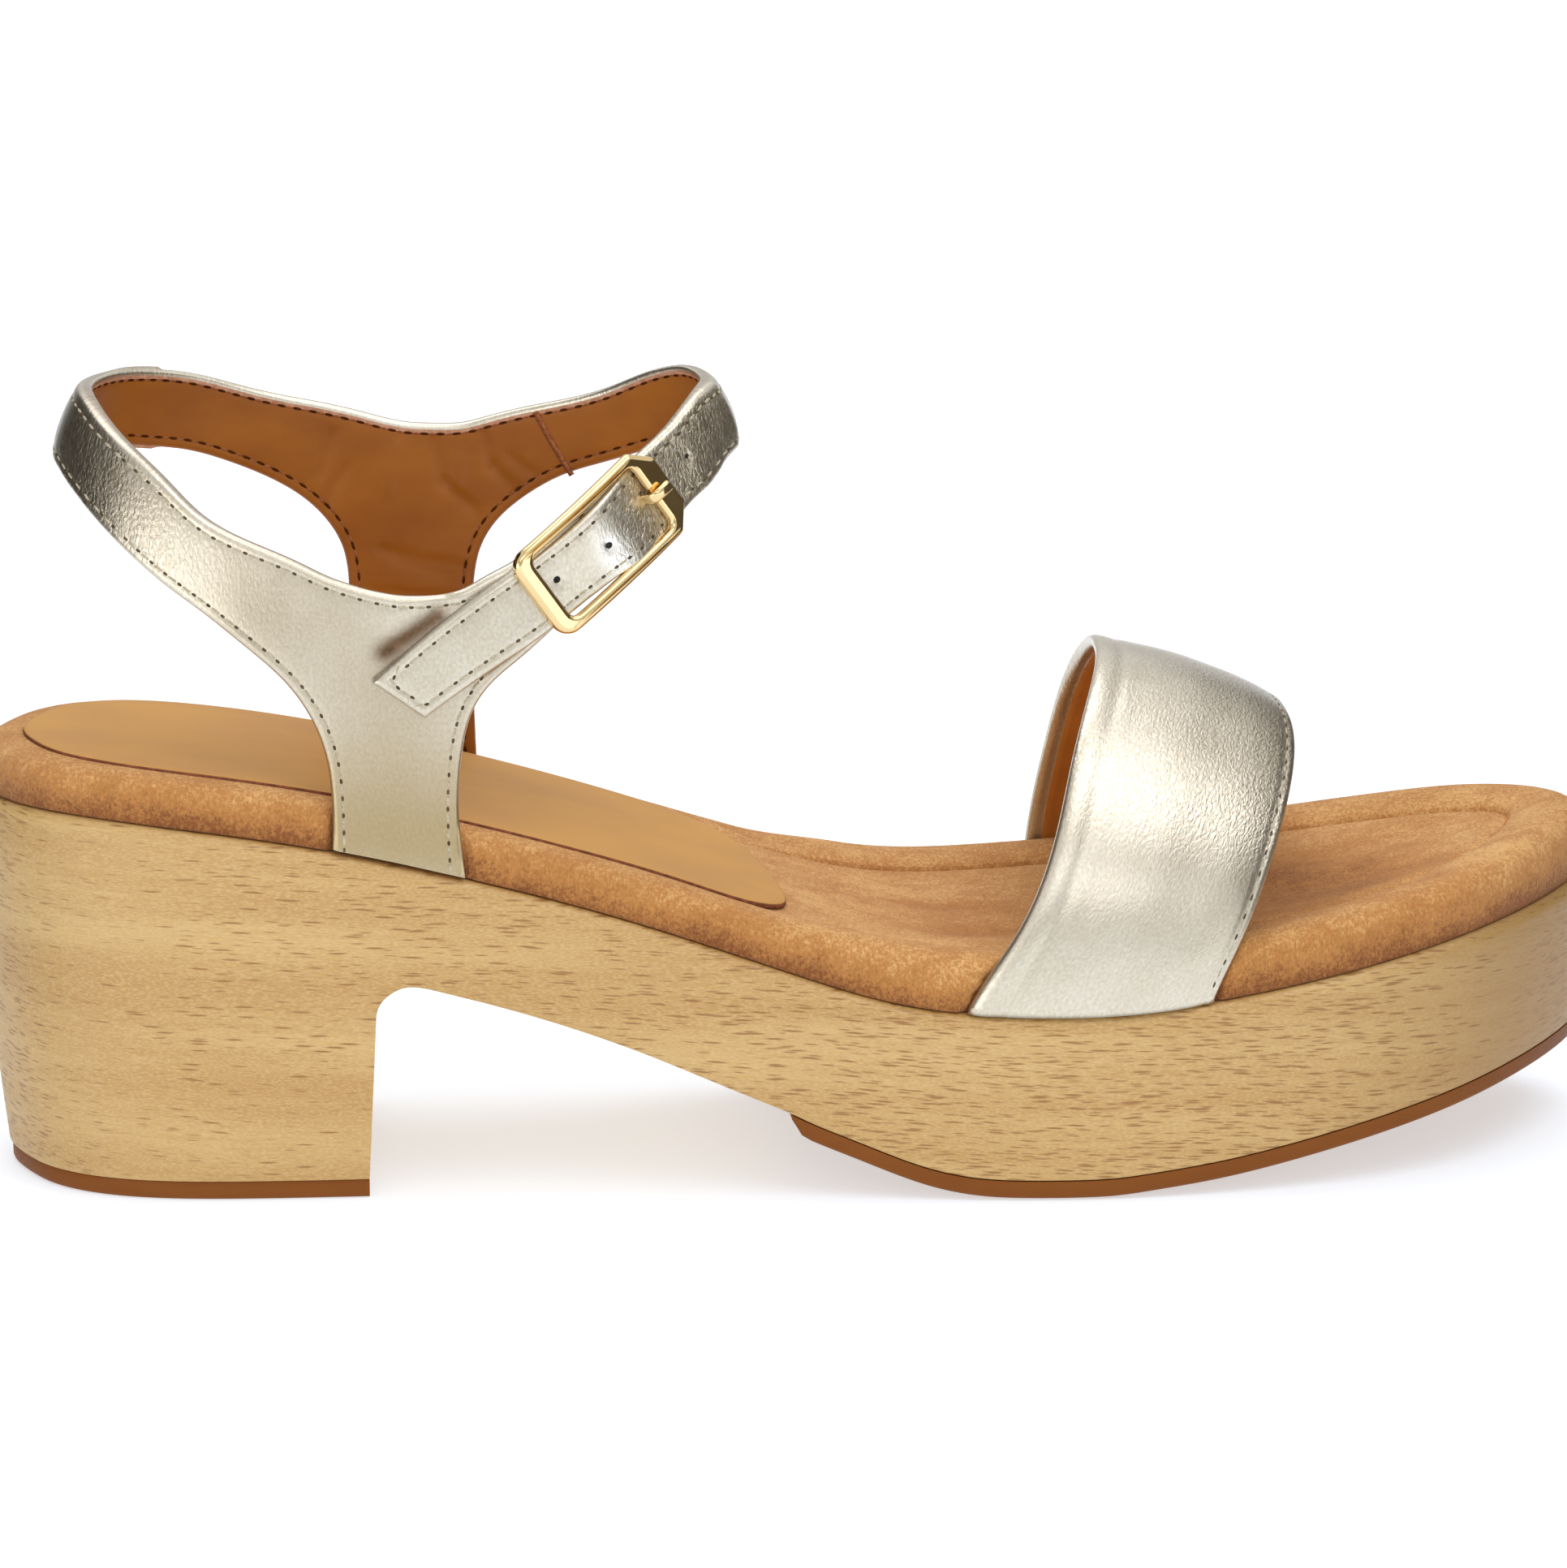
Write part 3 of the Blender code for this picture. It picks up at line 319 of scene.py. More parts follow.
def spline(knots, values, at):
    """Natural cubic curve through the values at the knots."""
    knots, values, at = (np.asarray(a, float) for a in (knots, values, at))
    gaps = np.diff(knots)
    slopes = np.diff(values) / gaps
    system = np.eye(len(knots))
    wanted = np.zeros(len(knots))
    for k in range(1, len(knots) - 1):
        system[k, k - 1:k + 2] = gaps[k - 1], 2 * (gaps[k - 1] + gaps[k]), gaps[k]
        wanted[k] = 6 * (slopes[k] - slopes[k - 1])
    bend = np.linalg.solve(system, wanted)
    k = np.clip(np.searchsorted(knots, at) - 1, 0, len(knots) - 2)
    a = (knots[k + 1] - at) / gaps[k]
    b = 1 - a
    curved = ((a**3 - a) * bend[k] + (b**3 - b) * bend[k + 1]) * gaps[k]**2 / 6
    return a * values[k] + b * values[k + 1] + curved


def table_curve(rows, at, column=1):
    """A column of a table as a smooth function of its first column."""
    rows = np.array(rows, float)
    return spline(rows[:, 0], rows[:, column], at)


def along_points(points):
    """Distance travelled at each point of a line."""
    steps = np.linalg.norm(np.diff(points, axis=0), axis=1)
    return np.concatenate([[0], np.cumsum(steps)])


def smooth_line(points, step):
    """Points about a step apart on a smooth open curve through the given ones."""
    points = np.array(points, float)
    along = along_points(points)
    at = np.linspace(0, along[-1], max(2, round(along[-1] / step) + 1))
    return np.stack([spline(along, points[:, k], at) for k in range(points.shape[1])], axis=1)


def closed_curve(points, count, wrap=4):
    """Evenly spaced points on a smooth closed curve through the given ones; the last repeats the first."""
    ring = np.array(points[-wrap:] + points + points[:wrap + 1], float)
    along = along_points(ring)
    at = np.linspace(along[wrap], along[wrap + len(points)], count + 1)
    return np.stack([spline(along, ring[:, k], at) for k in range(2)], axis=1)


def spaced_ring(points, step):
    """Points about a step apart round a closed line, and the direction of travel at each."""
    closed = np.concatenate([points, points[:1]])
    along = along_points(closed)
    at = np.linspace(0, along[-1], round(along[-1] / step), endpoint=False)
    places = np.stack([np.interp(at, along, closed[:, k]) for k in range(2)], axis=1)
    ahead = np.roll(places, -1, axis=0) - np.roll(places, 1, axis=0)
    return places, unit(ahead)


def unit(vectors):
    """The same directions with length one."""
    return vectors / np.linalg.norm(vectors, axis=-1)[..., None]


def signed_power(values, power):
    return np.sign(values) * np.abs(values)**power


def smoothstep(low, high, x):
    t = np.clip((x - low) / (high - low), 0, 1)
    return t * t * (3 - 2 * t)


def cosine_steps(low, high, count):
    return low + (high - low) * (1 - np.cos(np.linspace(0, math.pi, count))) / 2


def segment_distance(points, start, end):
    """Distance of each flat point from a straight stretch."""
    step = np.subtract(end, start)
    away = points - np.array(start)
    share = np.clip(away @ step / (step @ step), 0, 1)
    return np.linalg.norm(away - share[:, None] * step, axis=1)


def trough_depth(points, rows):
    """Depth at flat points of soft troughs, a row each: start, end, half width, depth."""
    depth = np.zeros(len(points))
    for t0, z0, t1, z1, half, deep in rows:
        depth += deep * np.exp(-(segment_distance(points, (t0, z0), (t1, z1)) / half)**2)
    return depth


# Sole surfaces

class Outline:
    """The sole's plan outline as two sides, each from heel to toe, with inward directions and lengths."""

    def __init__(self, points, count=2880):
        dense = closed_curve(points, count)
        tip = int(np.argmax(dense[:, 0]))
        self.length = dense[tip, 0]
        outer, inner = dense[:tip + 1], dense[tip:][::-1]
        self.sides = {-1: outer, 1: inner}
        self.inward = {s: self.directions(self.sides[s], s) for s in (-1, 1)}

    @staticmethod
    def directions(line, side):
        step = unit(np.gradient(line, axis=0))
        inward = np.stack([step[:, 1], -step[:, 0]], axis=1) * side
        inward[0] = (1, 0)
        inward[-1] = (-1, 0)
        return inward

    def y(self, xs, side):
        line = self.sides[side]
        return np.interp(xs, line[:, 0], line[:, 1])

    def travel(self, xs, side):
        line = self.sides[side]
        return np.interp(xs, line[:, 0], along_points(line))

    def side_points(self, xs, side, inset):
        line, inward = self.sides[side], self.inward[side]
        points = np.stack([xs, self.y(xs, side)], axis=1)
        turn = unit(np.stack([np.interp(xs, line[:, 0], inward[:, k]) for k in range(2)], axis=1))
        return points + turn * np.broadcast_to(inset, len(xs))[:, None]


OUTLINE = Outline(SOLE_OUTLINE)


class Stations:
    """Matched stations down both sides of the sole; a side that isn't open closes in a single point."""

    def __init__(self, xs, rear_open=False, front_open=False):
        self.xs = np.array(xs, float)
        last = len(self.xs) - 1
        back = list(range(last, -1, -1))
        back = back if front_open else back[1:]
        back = back if rear_open else back[:-1]
        self.order = [(k, -1) for k in range(last + 1)] + [(k, 1) for k in back]
        where = {key: j for j, key in enumerate(self.order)}
        self.pairs = [(where[k, -1], where.get((k, 1), where[k, -1])) for k in range(last + 1)]
        travel = {s: OUTLINE.travel(self.xs, s) for s in (-1, 1)}
        self.travel = np.array([travel[s][k] for k, s in self.order])

    def ring(self, inset, height):
        """Points of a ring: inset and height are functions of x along the outline."""
        insets = np.broadcast_to(inset(self.xs), len(self.xs))
        heights = np.broadcast_to(height(self.xs), len(self.xs))
        flat = {s: OUTLINE.side_points(self.xs, s, insets) for s in (-1, 1)}
        return np.array([(*flat[s][k], heights[k]) for k, s in self.order])


def wood_top(x):
    return table_curve(WOOD_TOP, x)


def tread(x):
    height = table_curve(TREAD, x)
    return (height + np.sqrt(height**2 + TREAD_SOFTNESS**2)) / 2


def wood_bottom(x):
    """Underside of the wood: heel seat, breast, arch, then the forefoot above the outsole."""
    seat = RUBBER + GAP
    breast = np.interp(x, (BREAST_FOOT, BREAST_TOP), (seat, ARCH[0][1]))
    line = smooth_line(ARCH + [(x0, z0 + seat) for x0, z0 in TREAD[2:5]], 0.25)
    arch = np.interp(x, line[:, 0], line[:, 1])
    forefoot = tread(x) + seat
    mix = smoothstep(OUTSOLE_REAR - ARCH_BLEND, OUTSOLE_REAR + ARCH_BLEND, x)
    return np.where(x <= BREAST_TOP, breast, arch * (1 - mix) + forefoot * mix)


def wall_inset(x, z):
    """How far the side of the sole stands in from its top edge at height z."""
    top = wood_top(x)
    down = np.clip((top - z) / top, 0, 1)
    heel = HEEL_DRAFT * down**HEEL_DRAFT_POWER
    return heel + (FOREFOOT_DRAFT * down - heel) * smoothstep(HEEL_FULL_X, FOREFOOT_FULL_X, x)


def bed_blend(heel, fore, x):
    """Height of the footbed above the wood, from its heights at the heel and at the forefoot."""
    rise = 1 + BED_TOE_RISE * smoothstep(BED_TOE_FROM, OUTLINE.length, x)
    return (heel + (fore - heel) * smoothstep(*BED_BLEND, x)) * rise


# Strap surfaces

def toe_points(angle_deg, from_edge, share, depth):
    """Points of the toe strap: angle round the arch, share from rear to front edge, plus a distance."""
    angle_deg, from_edge, share, depth = np.broadcast_arrays(angle_deg, from_edge, share, depth)
    rear = table_curve(TOE_ROWS, angle_deg, 1)
    front = table_curve(TOE_ROWS, angle_deg, 2)
    share = share + from_edge / (front - rear)
    x = rear + (front - rear) * share
    rise = TOE_REAR_RISE + (TOE_FRONT_RISE - TOE_REAR_RISE) * share + TOE_CROWN * 4 * share * (1 - share)
    turn = np.radians(angle_deg)
    across, up = np.cos(turn), np.sin(turn)
    half = np.where(across > 0, -OUTLINE.y(x, -1), OUTLINE.y(x, 1)) - TOE_EDGE_INSET
    y = -signed_power(across, TOE_ROUNDNESS)
    z = signed_power(up, TOE_ROUNDNESS)
    outward = unit(np.stack([y / half, z / rise], axis=-1))
    return np.stack([
        x, y * half - outward[..., 0] * depth, wood_top(x) + GAP + z * rise - outward[..., 1] * depth,
    ], axis=-1)


class Loop:
    """The ankle's outer surface: a closed curve at one height, leaning in as it rises."""

    def __init__(self, points, count=2400):
        dense = closed_curve(points, count)[::-1]
        self.points = dense
        self.along = along_points(dense)
        step = unit(np.gradient(dense, axis=0))
        self.outward = np.stack([-step[:, 1], step[:, 0]], axis=1)

    def at(self, travel, height, stand_off=0.0):
        """Points at a travel round the loop and a height, a distance off the surface."""
        travel, height, stand_off = np.broadcast_arrays(
            np.asarray(travel, float), np.asarray(height, float), np.asarray(stand_off, float)
        )
        travel = np.mod(travel, self.along[-1])
        place = np.stack([np.interp(travel, self.along, self.points[:, k]) for k in range(2)], axis=-1)
        turn = unit(np.stack([np.interp(travel, self.along, self.outward[:, k]) for k in range(2)], axis=-1))
        lean = LEAN_SIDES + (LEAN_ENDS - LEAN_SIDES) * np.abs(turn[..., 0])**LEAN_POWER
        flat = place + turn * (lean * (LOOP_HEIGHT - height) + stand_off)[..., None]
        return np.concatenate([flat, height[..., None]], axis=-1)


ANKLE = Loop(ANKLE_LOOP)


def strap_lift(flat):
    """Stand-off of the ankle upper at flat points, from the nearest place on the strap's middle line."""
    rows = np.array(UPPER_ROWS)
    middle = (rows[:, :2] + rows[:, 2:]) / 2
    middle = smooth_line(middle[middle[:, 0] > STRAP_FROM - 5], 0.5)
    lift = np.zeros(len(flat))
    strap = np.flatnonzero(flat[:, 0] > STRAP_FROM)
    away = np.linalg.norm(flat[strap, None] - middle, axis=2)
    travel = middle[away.argmin(axis=1), 0]
    lift[strap] = np.maximum(table_curve(STRAP_LIFT, np.clip(travel, STRAP_FROM, 200)), 0)
    return lift


def end_swell(flat):
    """Stand-off of the leather's swollen middle and curled lower edge at the ends of the loop."""
    rows = np.array(UPPER_ROWS)
    rows = rows[rows[:, 1] > SWELL_FROM_HEIGHT]
    bottom = np.interp(flat[:, 0], rows[:, 0], rows[:, 1])
    top = np.interp(flat[:, 0], rows[:, 2], rows[:, 3])
    share = np.clip((flat[:, 1] - bottom) / (top - bottom), 0, 1)
    travel, swells, curls = np.array(LEATHER_SWELLS).T
    swell = np.interp(flat[:, 0], travel, swells) * 4 * share * (1 - share)
    return swell - np.interp(flat[:, 0], travel, curls) * (1 - share)**4


def ankle_points(flat, depth):
    """The ankle upper's points in space at flat points, a depth below the outer face."""
    return ANKLE.at(flat[:, 0], flat[:, 1], strap_lift(flat) + end_swell(flat) - depth)


# Meshes

def turn_outward(mesh):
    work = bmesh.new()
    work.from_mesh(mesh)
    bmesh.ops.recalc_face_normals(work, faces=work.faces)
    work.to_mesh(mesh)
    work.free()


def new_piece(
    name, points, faces, finishes, slot, replaces=(), face_finish=None, sharp_deg=None, turned=False,
):
    """A smooth mesh piece, in metres, that rides on the shoe; its faces are turned outward if they aren't."""
    mesh = bpy.data.meshes.new(name)
    mesh.from_pydata(((np.asarray(points) - ORIGIN) * MM).tolist(), [], faces)
    for finish in finishes:
        mesh.materials.append(finish)
    if face_finish is not None:
        mesh.polygons.foreach_set("material_index", np.asarray(face_finish, np.int32))
    if not turned:
        turn_outward(mesh)
    mesh.shade_smooth()
    if sharp_deg:
        mesh.set_sharp_from_angle(angle=math.radians(sharp_deg))
    obj = bpy.data.objects.new(name, mesh)
    bpy.context.scene.collection.objects.link(obj)
    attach(obj, "root")
    if replaces:
        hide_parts(*replaces)
    return obj


def point_values(obj, name, values):
    """Stores a number or a vector at each point of a mesh, for its finish to read."""
    values = np.asarray(values, np.float32)
    kind, field = ("FLOAT_VECTOR", "vector") if values.ndim == 2 else ("FLOAT", "value")
    attribute = obj.data.attributes.new(name, kind, "POINT")
    attribute.data.foreach_set(field, np.ascontiguousarray(values).ravel())


def ring_faces(levels, count):
    """Faces between closed rings of points one above another."""
    faces = []
    for level in range(levels - 1):
        low, high = level * count, (level + 1) * count
        for j in range(count):
            k = (j + 1) % count
            faces.append((low + j, low + k, high + k, high + j))
    return faces


def end_faces(levels, count):
    """Faces that close the first and the last ring."""
    last = (levels - 1) * count
    return [tuple(range(count)), tuple(range(last, last + count))]


def cap_faces(base, pairs):
    """Strips that close a ring between its paired points."""
    faces = []
    for (a, b), (c, d) in zip(pairs, pairs[1:]):
        faces.append(tuple(base + corner for corner in dict.fromkeys((a, c, d, b))))
    return faces


# Sole

def sole_piece(name, rings, stations, finish, slot, sharp_deg=None):
    """A piece of the sole from rings and closing strips, with the grain's direction stored at its corners."""
    count = len(rings[0])
    sides = ring_faces(len(rings), count)
    caps = cap_faces(0, stations.pairs) + cap_faces((len(rings) - 1) * count, stations.pairs)
    points = np.concatenate(rings)
    node = name.removesuffix("_shaped")
    obj = new_piece(name, points, sides + caps, [finish], slot, [node], None, sharp_deg)
    along = np.tile(stations.travel, len(rings))
    on_side = np.stack([along, points[:, 1] * 0.2, points[:, 2] + GRAIN_DIP * points[:, 0]], axis=1)
    on_cap = np.stack([points[:, 0], np.full(len(points), 60.0), points[:, 1]], axis=1)
    corner_values(obj, "grain", on_side, on_cap, len(sides))
    return obj


def corner_values(obj, name, first, rest, count):
    """Stores a vector at each face corner: from one list on the first faces and from another on the rest."""
    mesh = obj.data
    corner_point = np.empty(len(mesh.loops), np.int32)
    mesh.loops.foreach_get("vertex_index", corner_point)
    sizes = np.empty(len(mesh.polygons), np.int32)
    mesh.polygons.foreach_get("loop_total", sizes)
    from_first = np.repeat(np.arange(len(sizes)) < count, sizes)
    values = np.where(from_first[:, None], first[corner_point], rest[corner_point])
    attribute = mesh.attributes.new(name, "FLOAT_VECTOR", "CORNER")
    attribute.data.foreach_set("vector", values.astype(np.float32).ravel())


def build_platform(finish):
    spans = ((BREAST_FOOT, BREAST_TOP, 6), (BREAST_TOP + 0.15, 61, 14), (61.4, 68, 18))
    breast = np.concatenate([np.linspace(*span) for span in spans])
    steps = cosine_steps(0, OUTLINE.length, 220)
    steps = steps[(steps < breast[0] - 0.6) | (steps > breast[-1] + 0.4)]
    stations = Stations(np.sort(np.concatenate([steps, breast])))
    foot, top = WOOD_FOOT_EDGE[-1][1], WOOD_TOP_EDGE[0][1]

    def ring(drawn_in, height):
        return stations.ring(lambda x: wall_inset(x, height(x)) + drawn_in, height)

    def level(share):
        return lambda x: wood_bottom(x) + foot + (wood_top(x) - top - wood_bottom(x) - foot) * share

    rings = [ring(inset, lambda x, up=up: wood_bottom(x) + up) for inset, up in WOOD_FOOT_EDGE]
    rings += [ring(0, level(share)) for share in WOOD_LEVELS]
    rings += [ring(inset, lambda x, down=down: wood_top(x) - down) for inset, down in WOOD_TOP_EDGE]
    return sole_piece("platform_shaped", rings, stations, finish, "beech", 40)


def build_heel_lift(finish):
    xs = cosine_steps(0, 2 * BREAST_FOOT, 161)[:81]
    stations = Stations(xs, front_open=True)
    rings = [
        stations.ring(lambda x, i=inset: wall_inset(x, 0) + i, lambda x, z=height: z)
        for inset, height in [*RUBBER_EDGE, (0, RUBBER), (0.1, RUBBER + GAP - RUBBER_GAP)]
    ]
    return sole_piece("heel_lift_shaped", rings, stations, finish, "rubber", 40)


def build_outsole(finish):
    span = OUTLINE.length - OUTSOLE_REAR
    xs = OUTSOLE_REAR + span * np.sin(np.linspace(0, math.pi / 2, 150))
    stations = Stations(xs, rear_open=True)

    def top(x):
        return np.minimum(tread(x) + RUBBER + GAP, wood_bottom(x)) - RUBBER_GAP

    def edge(x, height):
        thin = np.clip((OUTSOLE_REAR + OUTSOLE_TAPER - x) / OUTSOLE_TAPER, 0, 1)**2
        level = tread(x) + height
        return level + thin * OUTSOLE_THIN * (top(x) - level)

    rings = [
        stations.ring(lambda x, i=inset, h=h: wall_inset(x, edge(x, h)) + i, lambda x, h=h: edge(x, h))
        for inset, h in RUBBER_EDGE
    ]
    rings.append(stations.ring(lambda x: wall_inset(x, top(x)), top))
    return sole_piece("outsole_shaped", rings, stations, finish, "rubber", 50)


# Footbed and pad

def bed_rings(stations):
    """Rings of the footbed from its lower edge over the rim to the bed, with the seam between rim and bed."""
    table = np.array(BED_SECTION)
    along = along_points(table[:, [0, 2]])
    seam_at = np.interp(BED_SEAM_INSET, table[5:, 0], along[5:])
    at = np.concatenate([np.linspace(0, along[-1], 30), seam_at + BED_SEAM_HALF * np.linspace(-1.6, 1.6, 7)])
    section = np.stack([spline(along, table[:, k], np.sort(at)) for k in range(3)], axis=1)
    rings = []
    for (inset, heel, fore), place in zip(section, np.sort(at)):
        plan = stations.ring(lambda x, i=inset: i, wood_top)
        x = plan[:, 0]
        seam = BED_SEAM_DEPTH * np.exp(-((place - seam_at) / BED_SEAM_HALF)**2) * seam_strength(x, plan[:, 1])
        plan[:, 2] = wood_top(x) + GAP + bed_blend(heel, fore, x) - seam
        rings.append(plan)
    return rings


def seam_strength(x, y):
    """The bed's seam shows from the pad's front on round the toe and fades on the outer side."""
    round_toe = SEAM_TOE_SHARE * smoothstep(*SEAM_TOE_X, x)
    return smoothstep(*SEAM_GROWS_X, x) * np.maximum(smoothstep(*SEAM_GROWS_Y, y), round_toe)


def bed_fill(ring, pairs, across):
    """Points between the paired points of the innermost ring, sunk a little toward the bed's middle."""
    shares = np.linspace(0, 1, across + 2)[1:-1]
    left, right = ring[[a for a, _ in pairs]], ring[[b for _, b in pairs]]
    points = left[:, None] + (right - left)[:, None] * shares[None, :, None]
    x = points[..., 0]
    ends = smoothstep(ring[:, 0].min(), ring[:, 0].min() + 12, x) * smoothstep(0, 12, ring[:, 0].max() - x)
    sink = ends * (1 - np.abs(2 * shares - 1)**3)
    edge = bed_blend(BED_SECTION[-1][1], BED_SECTION[-1][2], x)
    points[..., 2] = wood_top(x) + GAP + edge + (bed_blend(*BED_MIDDLE, x) - edge) * sink
    return points


def bed_dents(points):
    depth = np.zeros(len(points))
    for x, y, half_x, half_y, deep in BED_DENTS:
        away = ((points[:, 0] - x) / half_x)**2 + ((points[:, 1] - y) / half_y)**2
        depth += deep * np.exp(-away)
    return depth


def between(x, low, high):
    """How fully places lie between two edges."""
    return smoothstep(*TUCK_ENDS, x - low) * smoothstep(*TUCK_ENDS, high - x)


def toe_limit(x, z, side):
    """How far out the bed may reach beside the toe strap, and how fully that holds at each place."""
    angle = np.full(len(x), 12.0 if side < 0 else 168.0)
    for _ in range(3):
        rear, front = table_curve(TOE_ROWS, angle, 1), table_curve(TOE_ROWS, angle, 2)
        share = np.clip((x - rear) / (front - rear), 0, 1)
        rise = TOE_REAR_RISE + (TOE_FRONT_RISE - TOE_REAR_RISE) * share
        up = np.clip((z - wood_top(x) - GAP) / rise, 0, 0.98)
        lift = np.degrees(np.arcsin(up**(1 / TOE_ROUNDNESS)))
        angle = lift if side < 0 else 180 - lift
    half = np.abs(OUTLINE.y(x, side)) - TOE_EDGE_INSET
    limit = half * np.cos(np.radians(lift))**TOE_ROUNDNESS - TOE_THICKNESS - 2 * GAP
    return limit, between(x, rear, front)


def post_limit(x, z, span):
    """The same beside a post of the ankle upper."""
    travel = np.linspace(span[0] - 4, span[1] + 4, 40)
    inner = ANKLE.at(travel[None], z[:, None], -STRAP_THICKNESS - 2 * GAP)
    order = np.argsort(inner[0, :, 0])
    limit = np.array([np.interp(px, row[order, 0], np.abs(row[order, 1])) for px, row in zip(x, inner)])
    edge = ANKLE.at(np.array(span)[None], z[:, None])[..., 0]
    return limit, between(x, edge.min(axis=1), edge.max(axis=1))


def tuck_under_straps(points):
    """Draws the footbed's wall in behind the straps' feet."""
    for side, span in ((-1, POST_SPANS[0]), (1, POST_SPANS[1])):
        for reach, limit_of in ((POST_REACH, lambda x, z, s: post_limit(x, z, span)), (TOE_REACH, toe_limit)):
            along = (points[:, 0] > reach[0]) & (points[:, 0] < reach[1])
            near = np.flatnonzero(along & (points[:, 1] * side > TUCK_FROM_Y))
            x, y, z = points[near].T
            limit, holds = limit_of(x, z, side)
            tucked = np.minimum(np.abs(y), limit)
            points[near, 1] = side * (np.abs(y) + (tucked - np.abs(y)) * holds)


def build_footbed(finish):
    stations = Stations(cosine_steps(0, OUTLINE.length, 260))
    rings = bed_rings(stations)
    count, across = len(rings[0]), 22
    base = (len(rings) - 1) * count
    fill = bed_fill(rings[-1], stations.pairs, across)
    start = len(rings) * count
    faces = ring_faces(len(rings), count) + cap_faces(0, stations.pairs)
    rows = [
        [base + a, *range(start + k * across, start + (k + 1) * across), base + b]
        for k, (a, b) in enumerate(stations.pairs)
    ]
    rows[0] = [base + stations.pairs[0][0]] * (across + 2)
    rows[-1] = [base + stations.pairs[-1][0]] * (across + 2)
    for here, ahead in zip(rows, rows[1:]):
        for j in range(across + 1):
            corners = tuple(dict.fromkeys((here[j], ahead[j], ahead[j + 1], here[j + 1])))
            if len(corners) > 2:
                faces.append(corners)
    points = np.concatenate([*rings, fill.reshape(-1, 3)])
    inner = np.arange(len(points)) >= 12 * count
    points[:, 2] -= bed_dents(points) * inner * smoothstep(122, 136, points[:, 0])
    tuck_under_straps(points)
    points, faces = without_loose(points, faces)
    obj = new_piece("footbed_shaped", points, faces, [finish], "suede", ["footbed"])
    point_values(obj, "tone", painted_bed_tone(points))
    return obj


def without_loose(points, faces):
    """Leaves out points that no face uses."""
    used = np.unique(np.concatenate([np.array(face) for face in faces]))
    place = np.full(len(points), -1)
    place[used] = np.arange(len(used))
    return points[used], [tuple(int(place[v]) for v in face) for face in faces]


# Painted light and shade on the suede, as (x, y, half length, half width, tone); more than nothing is lighter
BED_PAINTED_TONES = [
    (206, -10, 15, 12, -0.95), (196, 6, 10, 14, -0.6), (226, 4, 12, 12, 0.3), (138, -23, 16, 5, 0.5),
    (126, -8, 9, 8, 0.4), (140, 10, 16, 8, 0.25), (148, 2.5, 8, 3, -0.45), (152, -13, 9, 4, -0.45),
    (178, -6, 12, 16, -0.2), (222, -17, 16, 3.5, 0.5), (210, 22, 18, 8, 0.2),
]


def painted_bed_tone(points):
    """Painted light and shade: lighter over the rim, darker down the wall, with light and dark patches."""
    x, y, z = points.T
    rise = z - wood_top(x) - GAP
    tone = 0.55 * smoothstep(2, 8, rise) - 0.75 * smoothstep(4.5, 0.2, rise)
    # Painted shade: the wall darker towards the toe
    tone -= 0.3 * smoothstep(165, 225, x) * smoothstep(7.5, 3, rise)
    on_top = smoothstep(4, 6.2, rise)
    for px, py, half_x, half_y, amount in BED_PAINTED_TONES:
        tone += on_top * amount * np.exp(-((x - px) / half_x)**2 - ((y - py) / half_y)**2)
    return tone


def build_heel_pad(finishes):
    count = 240
    plan = closed_curve(PAD_OUTLINE, count)[:-1]
    ahead = np.roll(plan, -1, axis=0) - np.roll(plan, 1, axis=0)
    inward = unit(np.stack([-ahead[:, 1], ahead[:, 0]], axis=1))
    rings = []
    for drawn_in, below in [(0.1, PAD_THICKNESS), *PAD_EDGE]:
        ring = plan + inward * drawn_in
        z = wood_top(ring[:, 0]) + BED_MIDDLE[0] + 2 * GAP + PAD_THICKNESS - below
        rings.append(np.column_stack([ring, z]))
    pairs = [(j, (count - j) % count) for j in range(count // 2 + 1)]
    sides = ring_faces(len(rings), count)
    caps = cap_faces(0, pairs) + cap_faces((len(rings) - 1) * count, pairs)
    edge_count = 2 * count
    kinds = [1] * edge_count + [0] * (len(sides) + len(caps) - edge_count)
    points = np.concatenate(rings)
    faces = sides + caps
    return new_piece("heel_pad_shaped", points, faces, finishes, "pad_leather", ["heel_pad"], kinds, 50)


# Toe strap

def toe_section():
    """The closed section as rows of (distance from an edge, share of the width, depth, kind of surface)."""
    rear, front = TOE_REAR_SECTION, TOE_FRONT_SECTION
    middle = [(0.4, TOE_MIDDLE_SWELL), (0.5, TOE_MIDDLE_SWELL - 0.05), (0.6, TOE_MIDDLE_SWELL)]
    under = [(0.6, 2.55), (0.5, 2.6), (0.4, 2.65)]
    rows = [(d, 0.0, deep) for d, deep in rear]
    rows += [(0.0, share, deep) for share, deep in middle]
    rows += [(-d, 1.0, deep) for d, deep in front]
    return rows + [(0.0, share, deep) for share, deep in under]


def smooth_section(rows, width, step):
    """The section as a smooth closed line for a strap of some width, with even steps."""
    flat = np.array([(share * width + d, deep) for d, share, deep in rows])
    closed = np.concatenate([flat[-3:], flat, flat[:4]])
    along = along_points(closed)
    first, last = along[3], along[3 + len(flat)]
    at = np.linspace(first, last, round((last - first) / step), endpoint=False)
    return np.stack([spline(along, closed[:, k], at) for k in range(2)], axis=1)


